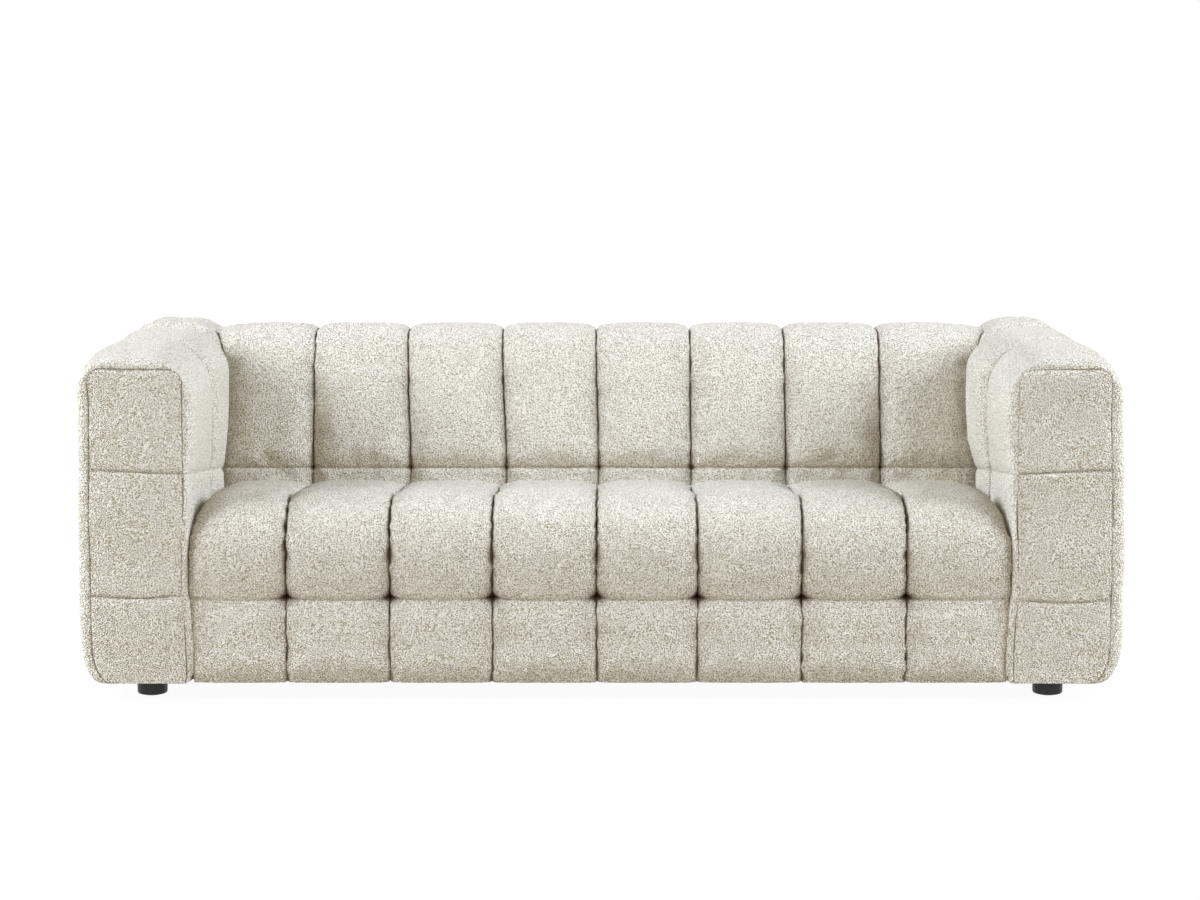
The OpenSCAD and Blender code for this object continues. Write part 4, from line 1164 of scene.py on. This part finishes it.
def corner_cover(sign, seed, more):
    loose = section_sides(corner_width, top_z + corner_rise, -corner_swell, 0, arm_round, back_seam_z,
                          inner_round=corner_round)
    start = section_sides(corner_width, top_z - sink, sink, sink, arm_round - sink, back_seam_z)
    rear = section_sides(corner_width, top_z - panel_inset, panel_inset, panel_inset,
                         arm_round - panel_inset, back_seam_z, inner_round=corner_round)

    def between(share):
        return lambda x, z: mix(face_d(z) + clearance, skin_d, share)

    ladders = []
    run = skin_d - seat_depth
    for share in crowd(0, 1, 56, 0.8)[:-1]:
        back_off = max(0, share * run - (run - edge_round)) / edge_round
        pulled = 1 - math.sqrt(1 - back_off ** 2)
        section = mix(mix(loose, start, drawn_in(share * run)), rear, pulled)
        ladders.append(ladder(section, between(share)))
    ladders.append(ladder(rear, between(1)))
    bm = closed_tube([border(grid) for grid in ladders], (ladders[0], ladders[-1]))

    def near_seams(place):
        return close_by(place, face_d(place.z), 0.016) + close_by(place, skin_d, 0.014)

    def at_start(place):
        return close_by(place, face_d(place.z), 0.003, 1.5)

    for v in bm.verts:
        full_shoulder(v.co, more)
    sew_in(bm, at_start, 0.004)
    gather(bm, near_seams, gather_lengths, 0.003, seed)
    return finish_cover(bm, sign, seed, 0, 0, skin_d - arm_padding)


for side, sign, seed, more in (("right", 1, 51, 0), ("left", -1, 71, 0.006)):
    add_piece(side + "_corner_upholstery", corner_cover(sign, seed, more), boucle, "boucle",
                        side + "_corner_cover")


# Outside back. One plain padded panel of boucle closes the rear. Its edge is turned in and sewn
# to the corner covers and to the back cover by hand.
outside_low, outside_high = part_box("outside_back_cover")
outside_top_round = arm_round - panel_inset
turned_in = 0.006
swell_size = 0.16
swell_height = 0.0025


def outside_half(z):
    """Half the width of the panel at a height, with its round corners."""
    low = max(0, outside_low.z + outer_hem - z)
    high = max(0, z - outside_high.z + outside_top_round)
    return (outside_high.x - outer_hem + math.sqrt(max(0, outer_hem ** 2 - low ** 2))
            - outside_top_round + math.sqrt(max(0, outside_top_round ** 2 - high ** 2)))


heights = np.concatenate([crowd(outside_low.z, outside_low.z + outer_hem, 10, 0.6)[:-1],
                          np.linspace(outside_low.z + outer_hem, outside_high.z - outside_top_round, 91)[:-1],
                          crowd(outside_high.z - outside_top_round, outside_high.z, 16, 0.6)])
spread = crowd(-1, 1, 300, 0.35)
inner_face, outer_face = (np.array([[(s * outside_half(z), depth, z) for s in spread] for z in heights])
                          for depth in (outside_low.y, outside_high.y))
to_edge = np.minimum(np.abs(outer_face[:, -1:, 0]) - np.abs(outer_face[:, :, 0]),
                     np.minimum(outer_face[:, :, 2] - outside_low.z, outside_high.z - outer_face[:, :, 2]))
outer_face[:, :, 1] -= turned_in * np.exp(-to_edge / 0.007)
outer_face[:, :, 1] += 0.002 * (1 - np.exp(-to_edge / 0.09)) - 0.001
swells = noise_at(outer_face, swell_size, Vector())
small_curls = noise_at(outer_face, curl_size, Vector())
uneven = swell_height * swells + curl_height * small_curls
outer_face[:, :, 1] += (1 - np.exp(-to_edge / 0.01)) * uneven
rows, columns = inner_face.shape[:2]
back_of = rows * columns
inner_faces = faces_of(rows, columns)
rim = border(np.arange(back_of).reshape(rows, columns)).tolist()
sides = [(a, b, b + back_of, a + back_of) for a, b in zip(rim, rim[1:] + rim[:1])]
bm = solid_of(np.concatenate([inner_face.reshape(-1, 3), outer_face.reshape(-1, 3)]).tolist(),
              inner_faces.tolist() + (inner_faces + back_of).tolist() + sides)
add_piece("outside_back_upholstery", bm, boucle, "boucle", "outside_back_cover")


# Dust cloth. Thin black nonwoven cloth is stretched under the body and stapled to its rails. It is
# cut round the studs of the legs.
dust_low, dust_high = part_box("dust_cloth")
cloth_step = 0.06
cloth_free_half = 0.95
cloth_sag = 0.0012
cloth_wave = 0.13
nonwoven = fibre_finish("black_nonwoven", (0.055, 0.055, 0.055), (0.028, 0.028, 0.028), 260, 0.0003)
bm = bmesh.new()
bm.from_mesh(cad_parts["dust_cloth"].data)
bmesh.ops.remove_doubles(bm, verts=bm.verts, dist=same_point)
cloth_area = bm.calc_volume() / (dust_high.z - dust_low.z)
for axis, low, high in (((1, 0, 0), dust_low.x, dust_high.x), ((0, 1, 0), dust_low.y, dust_high.y)):
    for place in np.arange(low + cloth_step / 2, high, cloth_step):
        bmesh.ops.bisect_plane(bm, geom=bm.verts[:] + bm.edges[:] + bm.faces[:],
                               plane_co=Vector(axis) * place, plane_no=axis)
for v in bm.verts:
    free = min(1, 20 * min(abs(v.co.x) - cloth_free_half, 0) ** 2)
    v.co.z -= cloth_sag * max(0, noise.noise(v.co / cloth_wave)) * free
dust = add_piece("dust_cloth_sheet", bm, nonwoven, "dust_cloth", "dust_cloth")


# Legs. Four short round feet turned from wood and painted black, each with a pressed-in plastic
# glide and screwed by its stud into a T-nut of the frame.
leg_black = grained_finish("black_painted_wood", (0.009, 0.009, 0.01), (0.005, 0.005, 0.006), 40, 0.0002,
                           (6, 6, 1), roughness=0.42, specular=0.45, detail=4, spread=0.2)
dress(leg_black, "front_left_leg", "front_right_leg", "rear_left_leg", "rear_right_leg")
plastic = grained_finish("grey_plastic", (0.1, 0.1, 0.1), (0.06, 0.06, 0.06), 90, 0.0001,
                         roughness=0.5, specular=0.4, detail=5)
dress(plastic, "leg_glides")

low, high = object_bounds()
